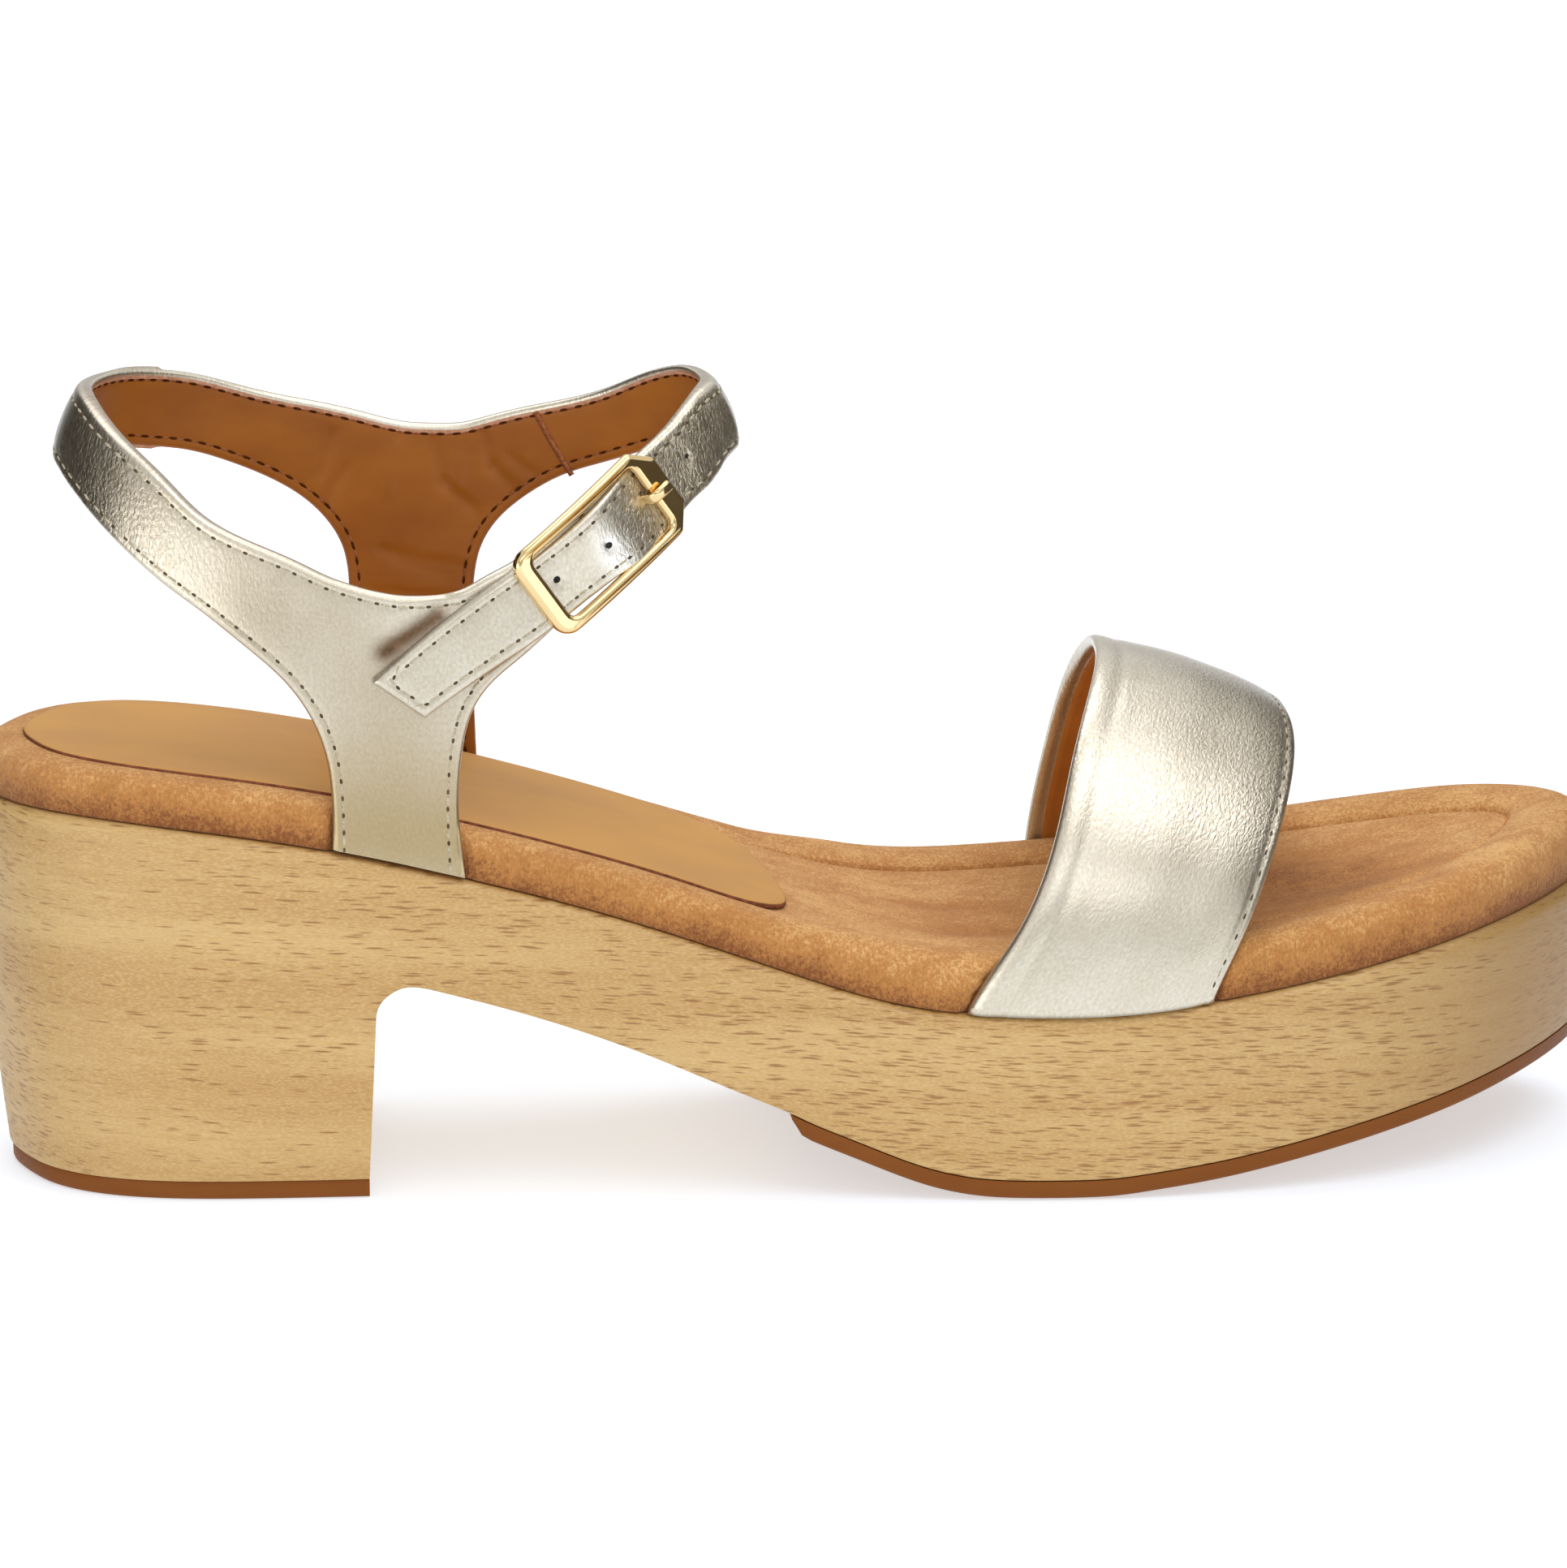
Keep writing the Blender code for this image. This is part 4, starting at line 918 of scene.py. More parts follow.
def build_toe_strap(leather, lining):
    section = smooth_section(toe_section(), TOE_WIDTH, TOE_STEP)
    arch = np.linspace(30, 150, 130)[1:-1]
    angles = np.concatenate([np.linspace(0, 30, 40), arch, np.linspace(150, 180, 40)])
    count = len(section)
    share = section[:, 0] / TOE_WIDTH
    grid = toe_points(angles[:, None], 0.0, share[None], section[None, :, 1])
    faces = ring_faces(len(angles), count)
    lined = (section[:, 1] > 1.0) & (section[:, 0] > TOE_LINING[0]) & (section[:, 0] < TOE_LINING[1])
    kinds = [int(lined[j] and lined[(j + 1) % count]) for _ in range(len(angles) - 1) for j in range(count)]
    faces += end_faces(len(angles), count)
    kinds += [0, 0]
    points = grid.reshape(-1, 3)
    obj = new_piece(
        "toe_strap_shaped", points, faces, [leather, lining], "metallic_leather", ["toe_strap"], kinds
    )
    arc = along_points(grid[:, int(np.argmin(section[:, 1])), :])
    skin = np.stack(np.broadcast_arrays(arc[:, None], section[None, :, 0], 0.0), axis=-1)
    point_values(obj, "skin", skin.reshape(-1, 3) * (1, 1, 0) + (400, 0, 0))
    height = np.sin(np.radians(angles))[:, None]
    frontward = 0.45 + 0.55 * smoothstep(4, 22, section[None, :, 0])
    wrinkle = 0.26 + 0.75 * smoothstep(0.35, 0.75, height) * frontward
    point_values(obj, "wrinkle", wrinkle.ravel())
    return obj


# Ankle upper as a flat pattern wrapped on the loop

def pattern_outline(step, foot_drop=0.0):
    """Outline of the flat pattern, as (travel, height), run with the leather on its left."""
    rows = np.array(UPPER_ROWS, float)
    low, top = rows[:, :2], rows[:, 2:]
    low[low[:, 1] < FOOT_HEIGHT, 1] -= foot_drop
    steps = np.diff(low, axis=0)
    turns = np.abs(np.diff(np.unwrap(np.arctan2(steps[:, 1], steps[:, 0]))))
    corners = [0, *(np.flatnonzero(turns > math.radians(CORNER_TURN_DEG)) + 1), len(rows) - 1]
    stretches = [low[a:b + 1] for a, b in zip(corners, corners[1:])]
    stretches += [np.array([low[-1], top[-1]]), top[::-1], np.array([top[0], low[0]])]
    return np.concatenate([smooth_line(stretch, step)[:-1] for stretch in stretches])


def inset_line(outline, distance):
    """The outline moved inward; points that a corner brings closer than that to the edge are dropped."""
    ahead = unit(np.roll(outline, -1, axis=0) - outline)
    after = np.stack([-ahead[:, 1], ahead[:, 0]], axis=1)
    before = np.roll(after, 1, axis=0)
    mitre = (before + after) / (1 + (before * after).sum(axis=1))[:, None]
    moved = outline + mitre * distance
    return moved[edge_distance(moved, outline) > 0.97 * abs(distance)]


def edge_distance(points, outline, chunk=1500):
    """Distance of each flat point from the outline."""
    step = np.roll(outline, -1, axis=0) - outline
    nearest = []
    for k in range(0, len(points), chunk):
        away = points[k:k + chunk, None] - outline
        share = np.clip((away * step).sum(-1) / (step**2).sum(-1), 0, 1)
        nearest.append(np.linalg.norm(away - share[..., None] * step, axis=-1).min(axis=1))
    return np.concatenate(nearest)


def inside(points, outline):
    """Whether each flat point lies inside the outline."""
    a, b = outline, np.roll(outline, -1, axis=0)
    x, y = points[:, 0, None], points[:, 1, None]
    spans = (a[:, 1] > y) != (b[:, 1] > y)
    rise = np.where(b[:, 1] == a[:, 1], 1, b[:, 1] - a[:, 1])
    crossing = a[:, 0] + (y - a[:, 1]) * (b[:, 0] - a[:, 0]) / rise
    return (spans & (x < crossing)).sum(axis=1) % 2 == 1


def pattern_mesh(outline):
    """Points and triangles that fill the outline, with rows of points that follow its edge."""
    rings = [inset_line(outline, distance) for distance in LEATHER_RINGS]
    low, high = outline.min(axis=0), outline.max(axis=0)
    columns, rows = ((high - low) / (LEATHER_GRID, LEATHER_GRID * 0.87)).astype(int)
    c, r = np.meshgrid(np.arange(columns), np.arange(rows), indexing="ij")
    grid = np.stack([(c + 0.5 * (r % 2)) * LEATHER_GRID, r * LEATHER_GRID * 0.87], axis=-1)
    grid = low + grid.reshape(-1, 2)
    grid = grid[inside(grid, outline)]
    grid = grid[edge_distance(grid, outline) > LEATHER_RINGS[-1] + LEATHER_GRID * 0.6]
    points = np.concatenate([outline, *rings, grid])
    count = len(outline)
    edges = [(k, (k + 1) % count) for k in range(count)]
    made = delaunay_2d_cdt([Vector(p) for p in points], edges, [], 1, 1e-5)
    return np.array([tuple(v) for v in made[0]]), [tuple(face) for face in made[2]]


def leather_thickness(flat):
    travel, thickness = np.array(LEATHER_THICKNESS).T
    full = np.interp(flat[:, 0], travel, thickness)
    return STRAP_THICKNESS + (full - STRAP_THICKNESS) * smoothstep(*THIN_HEIGHTS, flat[:, 1])


def top_distance(flat, chunk=2000):
    """Distance of each flat point from the leather's upper edge."""
    line = smooth_line(np.array(UPPER_ROWS, float)[:, 2:], 0.2)
    parts = [flat[k:k + chunk, None] - line for k in range(0, len(flat), chunk)]
    return np.concatenate([np.linalg.norm(part, axis=2).min(axis=1) for part in parts])


def leather_depths(flat, outline):
    """Depth of the outer face and of the lining face at flat points."""
    away = edge_distance(flat, outline)
    table = np.array(LEATHER_EDGE)
    troughs = trough_depth(flat, OUTER_TROUGHS)
    outer = np.interp(away, table[:, 0], table[:, 1]) + troughs
    lining = leather_thickness(flat) - np.interp(away, table[:, 0], table[:, 2])
    soft = smoothstep(0, 2.5, away)
    lining = lining + soft * trough_depth(flat, LINING_TROUGHS) + soft * np.maximum(troughs, 0)
    for travel, step in OVERLAPS:
        side = np.sign(step) * (flat[:, 0] - travel)
        outer = outer - abs(step) * smoothstep(0.25, -0.25, side) * smoothstep(-26, -18, side)
    for hole in STRAP_HOLES:
        near = np.exp(-(np.linalg.norm(flat - np.array(hole), axis=1) / HOLE_RADIUS)**4)
        outer = outer + 0.5 * near
    return outer, lining


def build_ankle_upper(leather, raw_edge, lining):
    """The upper's outer face and lining, joined by a rim; the outer leather folds over the upper edge."""
    outline = pattern_outline(LEATHER_STEP)
    flat, faces = pattern_mesh(outline)
    count, shift = len(outline), len(flat)
    outer_depth, lining_depth = leather_depths(flat, pattern_outline(LEATHER_STEP, FOOT_DROP))
    rim = inset_rim(outline)
    sheets = [ankle_points(flat, outer_depth), ankle_points(flat, lining_depth)]
    sheets += [ankle_points(rim, leather_thickness(outline) * share) for share in RIM_SHARES]
    from_top = top_distance(np.array([flat[list(face)].mean(axis=0) for face in faces]))
    inner_kinds = np.select([from_top < FOLD_WIDTH, from_top < FOLD_WIDTH + RAW_WIDTH], [0, 1], 2)
    kinds = [0] * len(faces) + inner_kinds.tolist()
    all_faces = faces + [tuple(shift + v for v in reversed(face)) for face in faces]
    loops = [range(first, first + count) for first in (0, 2 * shift, 2 * shift + count, shift)]
    folded = top_distance(outline) < 0.2
    for strip, (here, ahead) in enumerate(zip(loops, loops[1:])):
        for j in range(count):
            k = (j + 1) % count
            all_faces.append((here[j], here[k], ahead[k], ahead[j]))
            kinds.append(0 if strip == 0 or (folded[j] and folded[k]) else 1)
    obj = new_piece(
        "ankle_upper_shaped", np.concatenate(sheets), all_faces, [leather, raw_edge, lining],
        "metallic_leather", ["ankle_upper"], kinds,
    )
    plan = np.concatenate([flat, flat, rim, rim])
    point_values(obj, "skin", np.column_stack([plan[:, 1], plan[:, 0], np.zeros(len(plan))]))
    flatness = smoothstep(1.6, 0.3, edge_distance(plan, outline))
    point_values(obj, "wrinkle", np.interp(plan[:, 0], *np.array(WRINKLES).T) * (1 - 0.5 * flatness))
    # Painted shade, painted olive reflection and painted highlight (the shine), stored at the points for the
    # finish
    for name, rows in (("shade", LEATHER_PAINTED_SHADES), ("painted_reflection", LEATHER_PAINTED_REFLECTIONS), ("shine", LEATHER_PAINTED_HIGHLIGHTS)):
        share = trough_depth(plan, rows)
        # The rim gets painted shade as well
        if name == "shade":
            share[2 * shift:] += RIM_PAINTED_SHADE
        point_values(obj, name, share)
    return outline


def inset_rim(outline):
    """The outline swollen a little outward, point for point."""
    ahead = np.roll(outline, -1, axis=0) - np.roll(outline, 1, axis=0)
    outward = unit(np.stack([ahead[:, 1], -ahead[:, 0]], axis=1))
    return outline + outward * np.interp(outline[:, 0], *np.array(RIM_SWELLS).T)[:, None]


# Stitches

def bead(segments=8, rings=5):
    """Points and faces of a unit ball."""
    points = [(0, 0, 1)]
    for ring in range(1, rings):
        tilt = math.pi * ring / rings
        for k in range(segments):
            turn = 2 * math.pi * k / segments
            points.append((math.sin(tilt) * math.cos(turn), math.sin(tilt) * math.sin(turn), math.cos(tilt)))
    points.append((0, 0, -1))
    last = len(points) - 1
    faces = [(0, 1 + k, 1 + (k + 1) % segments) for k in range(segments)]
    for ring in range(rings - 2):
        a, b = 1 + ring * segments, 1 + (ring + 1) * segments
        for k in range(segments):
            j = (k + 1) % segments
            faces.append((a + k, b + k, b + j, a + j))
    base = last - segments
    faces += [(base + k, last, base + (k + 1) % segments) for k in range(segments)]
    return np.array(points), faces


def beads(name, places, along, normal, halves, finish, slot):
    """Many small balls of one size as one mesh, each turned along its own directions."""
    ball, faces = bead()
    along = unit(along)
    normal = unit(normal - along * (along * normal).sum(axis=1)[:, None])
    across = np.cross(normal, along)
    size = ball * np.array(halves)
    axes = enumerate((along, across, normal))
    points = places[:, None] + sum(size[None, :, k, None] * axis[:, None] for k, axis in axes)
    every = [tuple(n * len(ball) + v for v in face) for n in range(len(places)) for face in faces]
    return new_piece(name, points.reshape(-1, 3), every, [finish], slot)


def surface_frames(surface, flat, ahead, reach=0.3):
    """Places, directions along and normals at flat points of a surface function."""
    side = np.stack([-ahead[:, 1], ahead[:, 0]], axis=1)
    along = surface(flat + ahead * reach) - surface(flat - ahead * reach)
    across = surface(flat + side * reach) - surface(flat - side * reach)
    return surface(flat), along, np.cross(along, across)


def stitch_row(
    name, surface, line, step, thread, hole, slot, halves=(0.8, 0.22, 0.1), hole_halves=(0.42, 0.24, 0.1),
):
    """A row of stitches along a flat line: threads, with needle holes between them."""
    flat, ahead = line
    places, along, normal = surface_frames(surface, flat, ahead)
    # The needle holes are dark beads: painted shade in the holes
    beads(name + "_holes", places, along, normal, hole_halves, hole, slot)
    places, along, normal = surface_frames(surface, flat + ahead * step / 2, ahead)
    beads(name + "_threads", places, along, normal, halves, thread, slot)


def build_ankle_stitches(outline, outer_thread, outer_hole, lining_thread, lining_hole):
    stitched = inset_line(pattern_outline(LEATHER_STEP, FOOT_DROP), STITCH_INSET)
    places, ahead = spaced_ring(stitched, STITCH_STEP)
    kept = inside(places, outline)
    line = places[kept], ahead[kept]
    stitch_row(
        "outer_stitch", lambda flat: ankle_points(flat, 0.07 + trough_depth(flat, OUTER_TROUGHS)), line,
        STITCH_STEP, outer_thread, outer_hole, "metallic_leather",
    )
    stitch_row(
        "lining_stitch", lambda flat: ankle_points(flat, leather_thickness(flat) - 0.06), line, STITCH_STEP,
        lining_thread, lining_hole, "metallic_leather", (0.55, 0.2, 0.1), (0.75, 0.24, 0.1),
    )


def build_toe_stitches(thread, hole):
    def surface(flat):
        return toe_points(flat[:, 0], -flat[:, 1], 1.0, 0.42)

    turns = np.linspace(0, 180, 400)
    along = along_points(toe_points(turns, -TOE_STITCH_FROM_FRONT, 1.0, 0.42))
    at = np.arange(TOE_STITCH_STEP, along[-1] - 2, TOE_STITCH_STEP)
    at = at + np.random.default_rng(3).uniform(-0.5, 0.5, len(at))
    angles = np.interp(at, along, turns)
    flat = np.column_stack([angles, np.full(len(angles), TOE_STITCH_FROM_FRONT)])
    half_step = np.gradient(angles)[:, None] / 2 * (1, 0)
    for name, shift, halves, finish in (
        ("toe_stitch_holes", 0, (0.55, 0.16, 0.14), hole),
        ("toe_stitch_threads", 1, (1.1, 0.16, 0.08), thread),
    ):
        places = flat + shift * half_step
        ahead = surface(places + (0.2, 0)) - surface(places - (0.2, 0))
        across = surface(places + (0, 0.2)) - surface(places - (0, 0.2))
        beads(name, surface(places), ahead, np.cross(ahead, across), halves, finish, "metallic_leather")


def build_strap_holes(finish):
    # Dark discs on the outer face and the lining: painted shade in the punched holes
    flat = np.array(STRAP_HOLES)
    ahead = np.tile((0.82, -0.57), (len(flat), 1))
    frames = surface_frames(lambda f: ankle_points(f, 0.25), flat, ahead)
    beads("strap_holes", *frames, (HOLE_RADIUS * 0.95, HOLE_RADIUS * 0.8, 0.3), finish, "metallic_leather")
    frames = surface_frames(lambda f: ankle_points(f, leather_thickness(f)), flat, ahead)
    beads("lining_holes", *frames, (HOLE_RADIUS * 0.95, HOLE_RADIUS * 0.8, 0.08), finish, "metallic_leather")


def build_lining_seam(finish):
    flat = smooth_line(LINING_SEAM, 0.4)
    ahead = unit(np.gradient(flat, axis=0))
    places, along, normal = surface_frames(lambda f: ankle_points(f, leather_thickness(f)), flat, ahead)
    across = unit(np.cross(normal, along))
    inward = -unit(normal)
    profile = [(-0.5, -0.1), (-0.32, 0.16), (0, 0.28), (0.28, 0.16), (0.42, -0.1)]
    rings = np.stack([places + across * side + inward * up for side, up in profile], axis=1)
    count = len(profile)
    faces = ring_faces(len(rings), count) + end_faces(len(rings), count)
    return new_piece("lining_seam", rings.reshape(-1, 3), faces, [finish], "metallic_leather")


# Buckle

def buckle_matrix():
    """Axes of the buckle in the shoe: along the strap to the front, across it upward, and off the foot."""
    middle = ANKLE.at(BUCKLE_TRAVEL, BUCKLE_HEIGHT)
    forward = ANKLE.at(BUCKLE_TRAVEL - 1, BUCKLE_HEIGHT) - ANKLE.at(BUCKLE_TRAVEL + 1, BUCKLE_HEIGHT)
    upward = ANKLE.at(BUCKLE_TRAVEL, BUCKLE_HEIGHT + 1) - ANKLE.at(BUCKLE_TRAVEL, BUCKLE_HEIGHT - 1)
    forward = unit(forward)
    away = unit(np.cross(forward, upward))
    upward = np.cross(away, forward)
    slope = math.radians(BUCKLE_SLOPE_DEG)
    along = forward * math.cos(slope) + upward * math.sin(slope)
    return middle, np.stack([along, np.cross(away, along), away])


def on_buckle(local):
    middle, axes = buckle_matrix()
    return middle + np.asarray(local) @ axes


def rounded_corner(x, y, radius, turn, steps=6):
    """Arc of a corner at (x, y) of a box; turn is the angle at which the arc starts."""
    centre = (x - math.copysign(radius, x), y - math.copysign(radius, y))
    angles = np.radians(np.linspace(turn, turn + 90, steps + 1))
    return [(centre[0] + radius * math.cos(a), centre[1] + radius * math.sin(a)) for a in angles]


def frame_outline():
    front, rear, half, cut = BUCKLE_FRONT, -BUCKLE_REAR, BUCKLE_HALF_WIDTH, BUCKLE_FRONT_CHAMFER
    points = [(front, -half + cut), (front, half - cut), (front - cut, half)]
    points += rounded_corner(rear, half, BUCKLE_REAR_RADIUS, 90)
    points += rounded_corner(rear, -half, BUCKLE_REAR_RADIUS, 180)
    return points + [(front - cut, -half)]


def window_outline():
    points = []
    for x, y, turn in (
        (WINDOW_FRONT, WINDOW_HALF_WIDTH, 0), (-WINDOW_REAR, WINDOW_HALF_WIDTH, 90),
        (-WINDOW_REAR, -WINDOW_HALF_WIDTH, 180), (WINDOW_FRONT, -WINDOW_HALF_WIDTH, 270),
    ):
        points += rounded_corner(x, y, WINDOW_RADIUS, turn)
    return points


def build_buckle_frame(finish):
    """The frame as a filled plan with a rounded edge, bent a little along the strap, and its centre bar."""
    plan = bpy.data.curves.new("frame_plan", "CURVE")
    plan.dimensions = "2D"
    plan.fill_mode = "BOTH"
    plan.extrude = BUCKLE_THICKNESS / 2 - BUCKLE_ROUND
    plan.bevel_depth = BUCKLE_ROUND
    plan.bevel_resolution = 4
    plan.offset = -BUCKLE_ROUND
    for outline in (frame_outline(), window_outline()):
        line, _ = spaced_ring(np.array(outline), 0.5)
        stroke = plan.splines.new("POLY")
        stroke.points.add(len(line) - 1)
        places = np.column_stack([line, np.zeros(len(line)), np.ones(len(line))])
        stroke.points.foreach_set("co", places.ravel())
        stroke.use_cyclic_u = True
    helper = bpy.data.objects.new("frame_plan", plan)
    mesh = bpy.data.meshes.new_from_object(helper)
    points = np.array([v.co for v in mesh.vertices])
    faces = [tuple(p.vertices) for p in mesh.polygons]
    bpy.data.objects.remove(helper)
    points[:, 2] += BUCKLE_BASE + BUCKLE_THICKNESS / 2 - points[:, 0]**2 / (2 * BUCKLE_BEND_RADIUS)
    # The plan's flat faces and its rounded edge share no points, so turning them again would set them apart
    new_piece(
        "buckle_frame_shaped", on_buckle(points), faces, [finish], "gold", ["buckle_frame"], sharp_deg=35,
        turned=True,
    )
    reach = (BUCKLE_HALF_WIDTH + WINDOW_HALF_WIDTH) / 2
    foot = BUCKLE_BASE + 0.4
    staple = [(0, -reach, foot), (0, -reach, BAR_LIFT), (0, reach, BAR_LIFT), (0, reach, foot)]
    sweep("buckle_bar", staple, BAR_HALF, BAR_HALF, (1, 0, 0), finish)


def build_buckle_prong(finish):
    turns = np.radians(np.linspace(*PRONG_HOOK_DEG, 24))
    hook = [(PRONG_RING_RADIUS * math.cos(a), BAR_LIFT + PRONG_RING_RADIUS * math.sin(a)) for a in turns]
    line = smooth_line(hook[:-1] + PRONG_LINE, 0.35)
    centre = np.column_stack([line[:, 0], np.zeros(len(line)), line[:, 1]])
    obj = sweep("buckle_prong_shaped", centre, PRONG_HALF_WIDTH, PRONG_HALF_THICKNESS, (0, 1, 0), finish)
    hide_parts("buckle_prong")


def sweep(name, line, half_width, half_thickness, side, finish, segments=14, tip=4):
    """A rounded bar along a line in the buckle's axes, with rounded ends; side is its width's direction."""
    line = np.array(line, float)
    ahead = unit(np.gradient(line, axis=0))
    side = np.array(side, float)
    up = np.cross(ahead, side)
    turns = np.linspace(0, 2 * math.pi, segments, endpoint=False)
    rounds = signed_power(np.cos(turns), BAR_ROUNDNESS), signed_power(np.sin(turns), BAR_ROUNDNESS)
    last = len(line) - 1
    ends = [(-1, 0, share) for share in np.linspace(0.25, 1, tip)]
    ends += [(0, k, 1) for k in range(1, last)]
    ends += [(1, last, share) for share in np.linspace(1, 0.25, tip)]
    rings = []
    for end, k, share in ends:
        push = end * half_thickness * (1 - share**2)
        centre = line[k] + ahead[k] * push
        rings.append(np.array([
            centre + side * half_width * share * c + up[k] * half_thickness * share * s
            for c, s in zip(*rounds)
        ]))
    faces = ring_faces(len(rings), segments) + end_faces(len(rings), segments)
    return new_piece(name, on_buckle(np.concatenate(rings)), faces, [finish], "gold")


# Finishes

def tint(red, green, blue):
    """A colour as a picture shows it, 0 to 255, in the linear values that shaders take."""
    shares = np.array((red, green, blue)) / 255
    linear = np.where(shares > 0.04045, ((shares + 0.055) / 1.055)**2.4, shares / 12.92)
    return (*linear, 1.0)


class Finish:
    """A material being made, with short calls for its nodes."""

    def __init__(self, name, **values):
        self.material = bpy.data.materials.new(name)
        self.material.use_nodes = True
        self.tree = self.material.node_tree
        self.shader = self.tree.nodes["Principled BSDF"]
        for key, value in values.items():
            self.shader.inputs[key.replace("_", " ")].default_value = value

    def add(self, kind, inputs, **settings):
        made = self.tree.nodes.new("ShaderNode" + kind)
        for key, value in settings.items():
            setattr(made, key, value)
        for key, value in inputs.items():
            if isinstance(value, bpy.types.NodeSocket):
                self.tree.links.new(value, made.inputs[key])
            else:
                made.inputs[key].default_value = value
        return made

    def feed(self, socket, value):
        self.tree.links.new(value, self.shader.inputs[socket])

    def stored(self, name, field="Fac"):
        return self.add("Attribute", {}, attribute_name=name).outputs[field]

    def place(self):
        """Where a point is in the frame, in millimetres."""
        here = self.add("TexCoord", {}).outputs["Object"]
        return self.add("VectorMath", {0: here, "Scale": 1000.0}, operation="SCALE").outputs[0]

    def stretch(self, vector, sizes, shift=0.0):
        """A place measured in cells of the given sizes."""
        cells = [1 / size for size in sizes]
        inputs = {0: vector, 1: cells, 2: (shift,) * 3}
        return self.add("VectorMath", inputs, operation="MULTIPLY_ADD").outputs[0]

    def noise(self, vector, detail=2.0, roughness=0.5, distortion=0.0):
        inputs = {"Vector": vector, "Scale": 1.0, "Detail": detail}
        inputs |= {"Roughness": roughness, "Distortion": distortion}
        return self.add("TexNoise", inputs).outputs["Fac"]

    def ramp(self, value, low, high, out_low=0.0, out_high=1.0):
        inputs = {"Value": value, "From Min": low, "From Max": high, "To Min": out_low, "To Max": out_high}
        return self.add("MapRange", inputs, interpolation_type="SMOOTHSTEP").outputs[0]

    def math(self, operation, a, b):
        return self.add("Math", {0: a, 1: b}, operation=operation).outputs[0]

    def mix(self, share, a, b):
        return self.add("Mix", {0: share, 6: a, 7: b}, data_type="RGBA").outputs[2]

    def ridges(self, vector, detail=2.0, distortion=0.4):
        """Thin winding valleys: 0 in their beds, 1 on the swells between them."""
        centred = self.math("SUBTRACT", self.noise(vector, detail, 0.5, distortion), 0.5)
        return self.ramp(self.math("ABSOLUTE", centred, 0.0), 0.0, 0.16)

    def bump(self, height, distance_mm, strength=1.0):
        inputs = {"Height": height, "Distance": distance_mm * MM, "Strength": strength}
        self.feed("Normal", self.add("Bump", inputs).outputs[0])


def beech_finish():
    f = Finish("beech_grain", Coat_Weight=0.15, Coat_Roughness=0.3)
    grain = f.stored("grain", "Vector")
    wave = f.noise(f.stretch(grain, (36, 36, 24)), 2)
    bent = f.add("CombineXYZ", {2: f.math("MULTIPLY", wave, 2.5)}).outputs[0]
    grain = f.add("VectorMath", {0: grain, 1: bent}, operation="ADD").outputs[0]
    layers = f.noise(f.stretch(grain, (90, 20, 5)), 3)
    fibres = f.noise(f.stretch(grain, (5, 2, 0.3)), 3, 0.6)
    speckle = f.noise(f.stretch(grain, (0.7, 0.7, 0.22)), 2)
    colour = f.mix(f.ramp(layers, 0.32, 0.68), tint(183, 141, 77), tint(202, 165, 103))
    colour = f.mix(f.ramp(fibres, 0.35, 0.75, 0.0, 0.4), colour, tint(178, 136, 76))
    colour = f.mix(f.ramp(speckle, 0.35, 0.75, 0.0, 0.35), colour, tint(226, 196, 142))
    depth = f.ramp(fibres, 0.3, 0.7, 0.0, 0.25)
    for sizes, shift, share in (((5.4, 6, 0.56), 0.0, 0.95), ((3.8, 5, 0.44), 7.3, 0.8)):
        inputs = {"Vector": f.stretch(grain, sizes, shift), "Scale": 1.0, "Randomness": 1.0}
        cells = f.add("TexVoronoi", inputs)
        kept = f.ramp(cells.outputs["Color"], 0.42, 0.62, 0.0, share)
        fleck = f.math("MULTIPLY", f.ramp(cells.outputs["Distance"], 0.4, 0.14), kept)
        colour = f.mix(fleck, colour, tint(150, 105, 50))
        depth = f.math("SUBTRACT", depth, fleck)
    # Painted shade: the wood darkens towards the toe end
    along = f.add("SeparateXYZ", {0: grain}).outputs[0]
    f.feed("Base Color", f.mix(f.ramp(along, 205, 258, 0.0, 0.6), colour, tint(148, 106, 52)))
    f.feed("Roughness", f.ramp(fibres, 0.3, 0.7, 0.45, 0.58))
    f.bump(depth, 0.05, 0.6)
    return f.material


def rubber_finish():
    f = Finish("rubber_satin", Specular_IOR_Level=0.12)
    place = f.place()
    mottle = f.noise(f.stretch(place, (12, 12, 4)), 2)
    f.feed("Base Color", f.mix(mottle, tint(121, 68, 25), tint(136, 80, 31)))
    fine = f.noise(f.stretch(place, (0.6, 0.6, 0.6)), 2)
    f.feed("Roughness", f.ramp(fine, 0.2, 0.8, 0.42, 0.55))
    f.bump(fine, 0.05, 0.4)
    return f.material


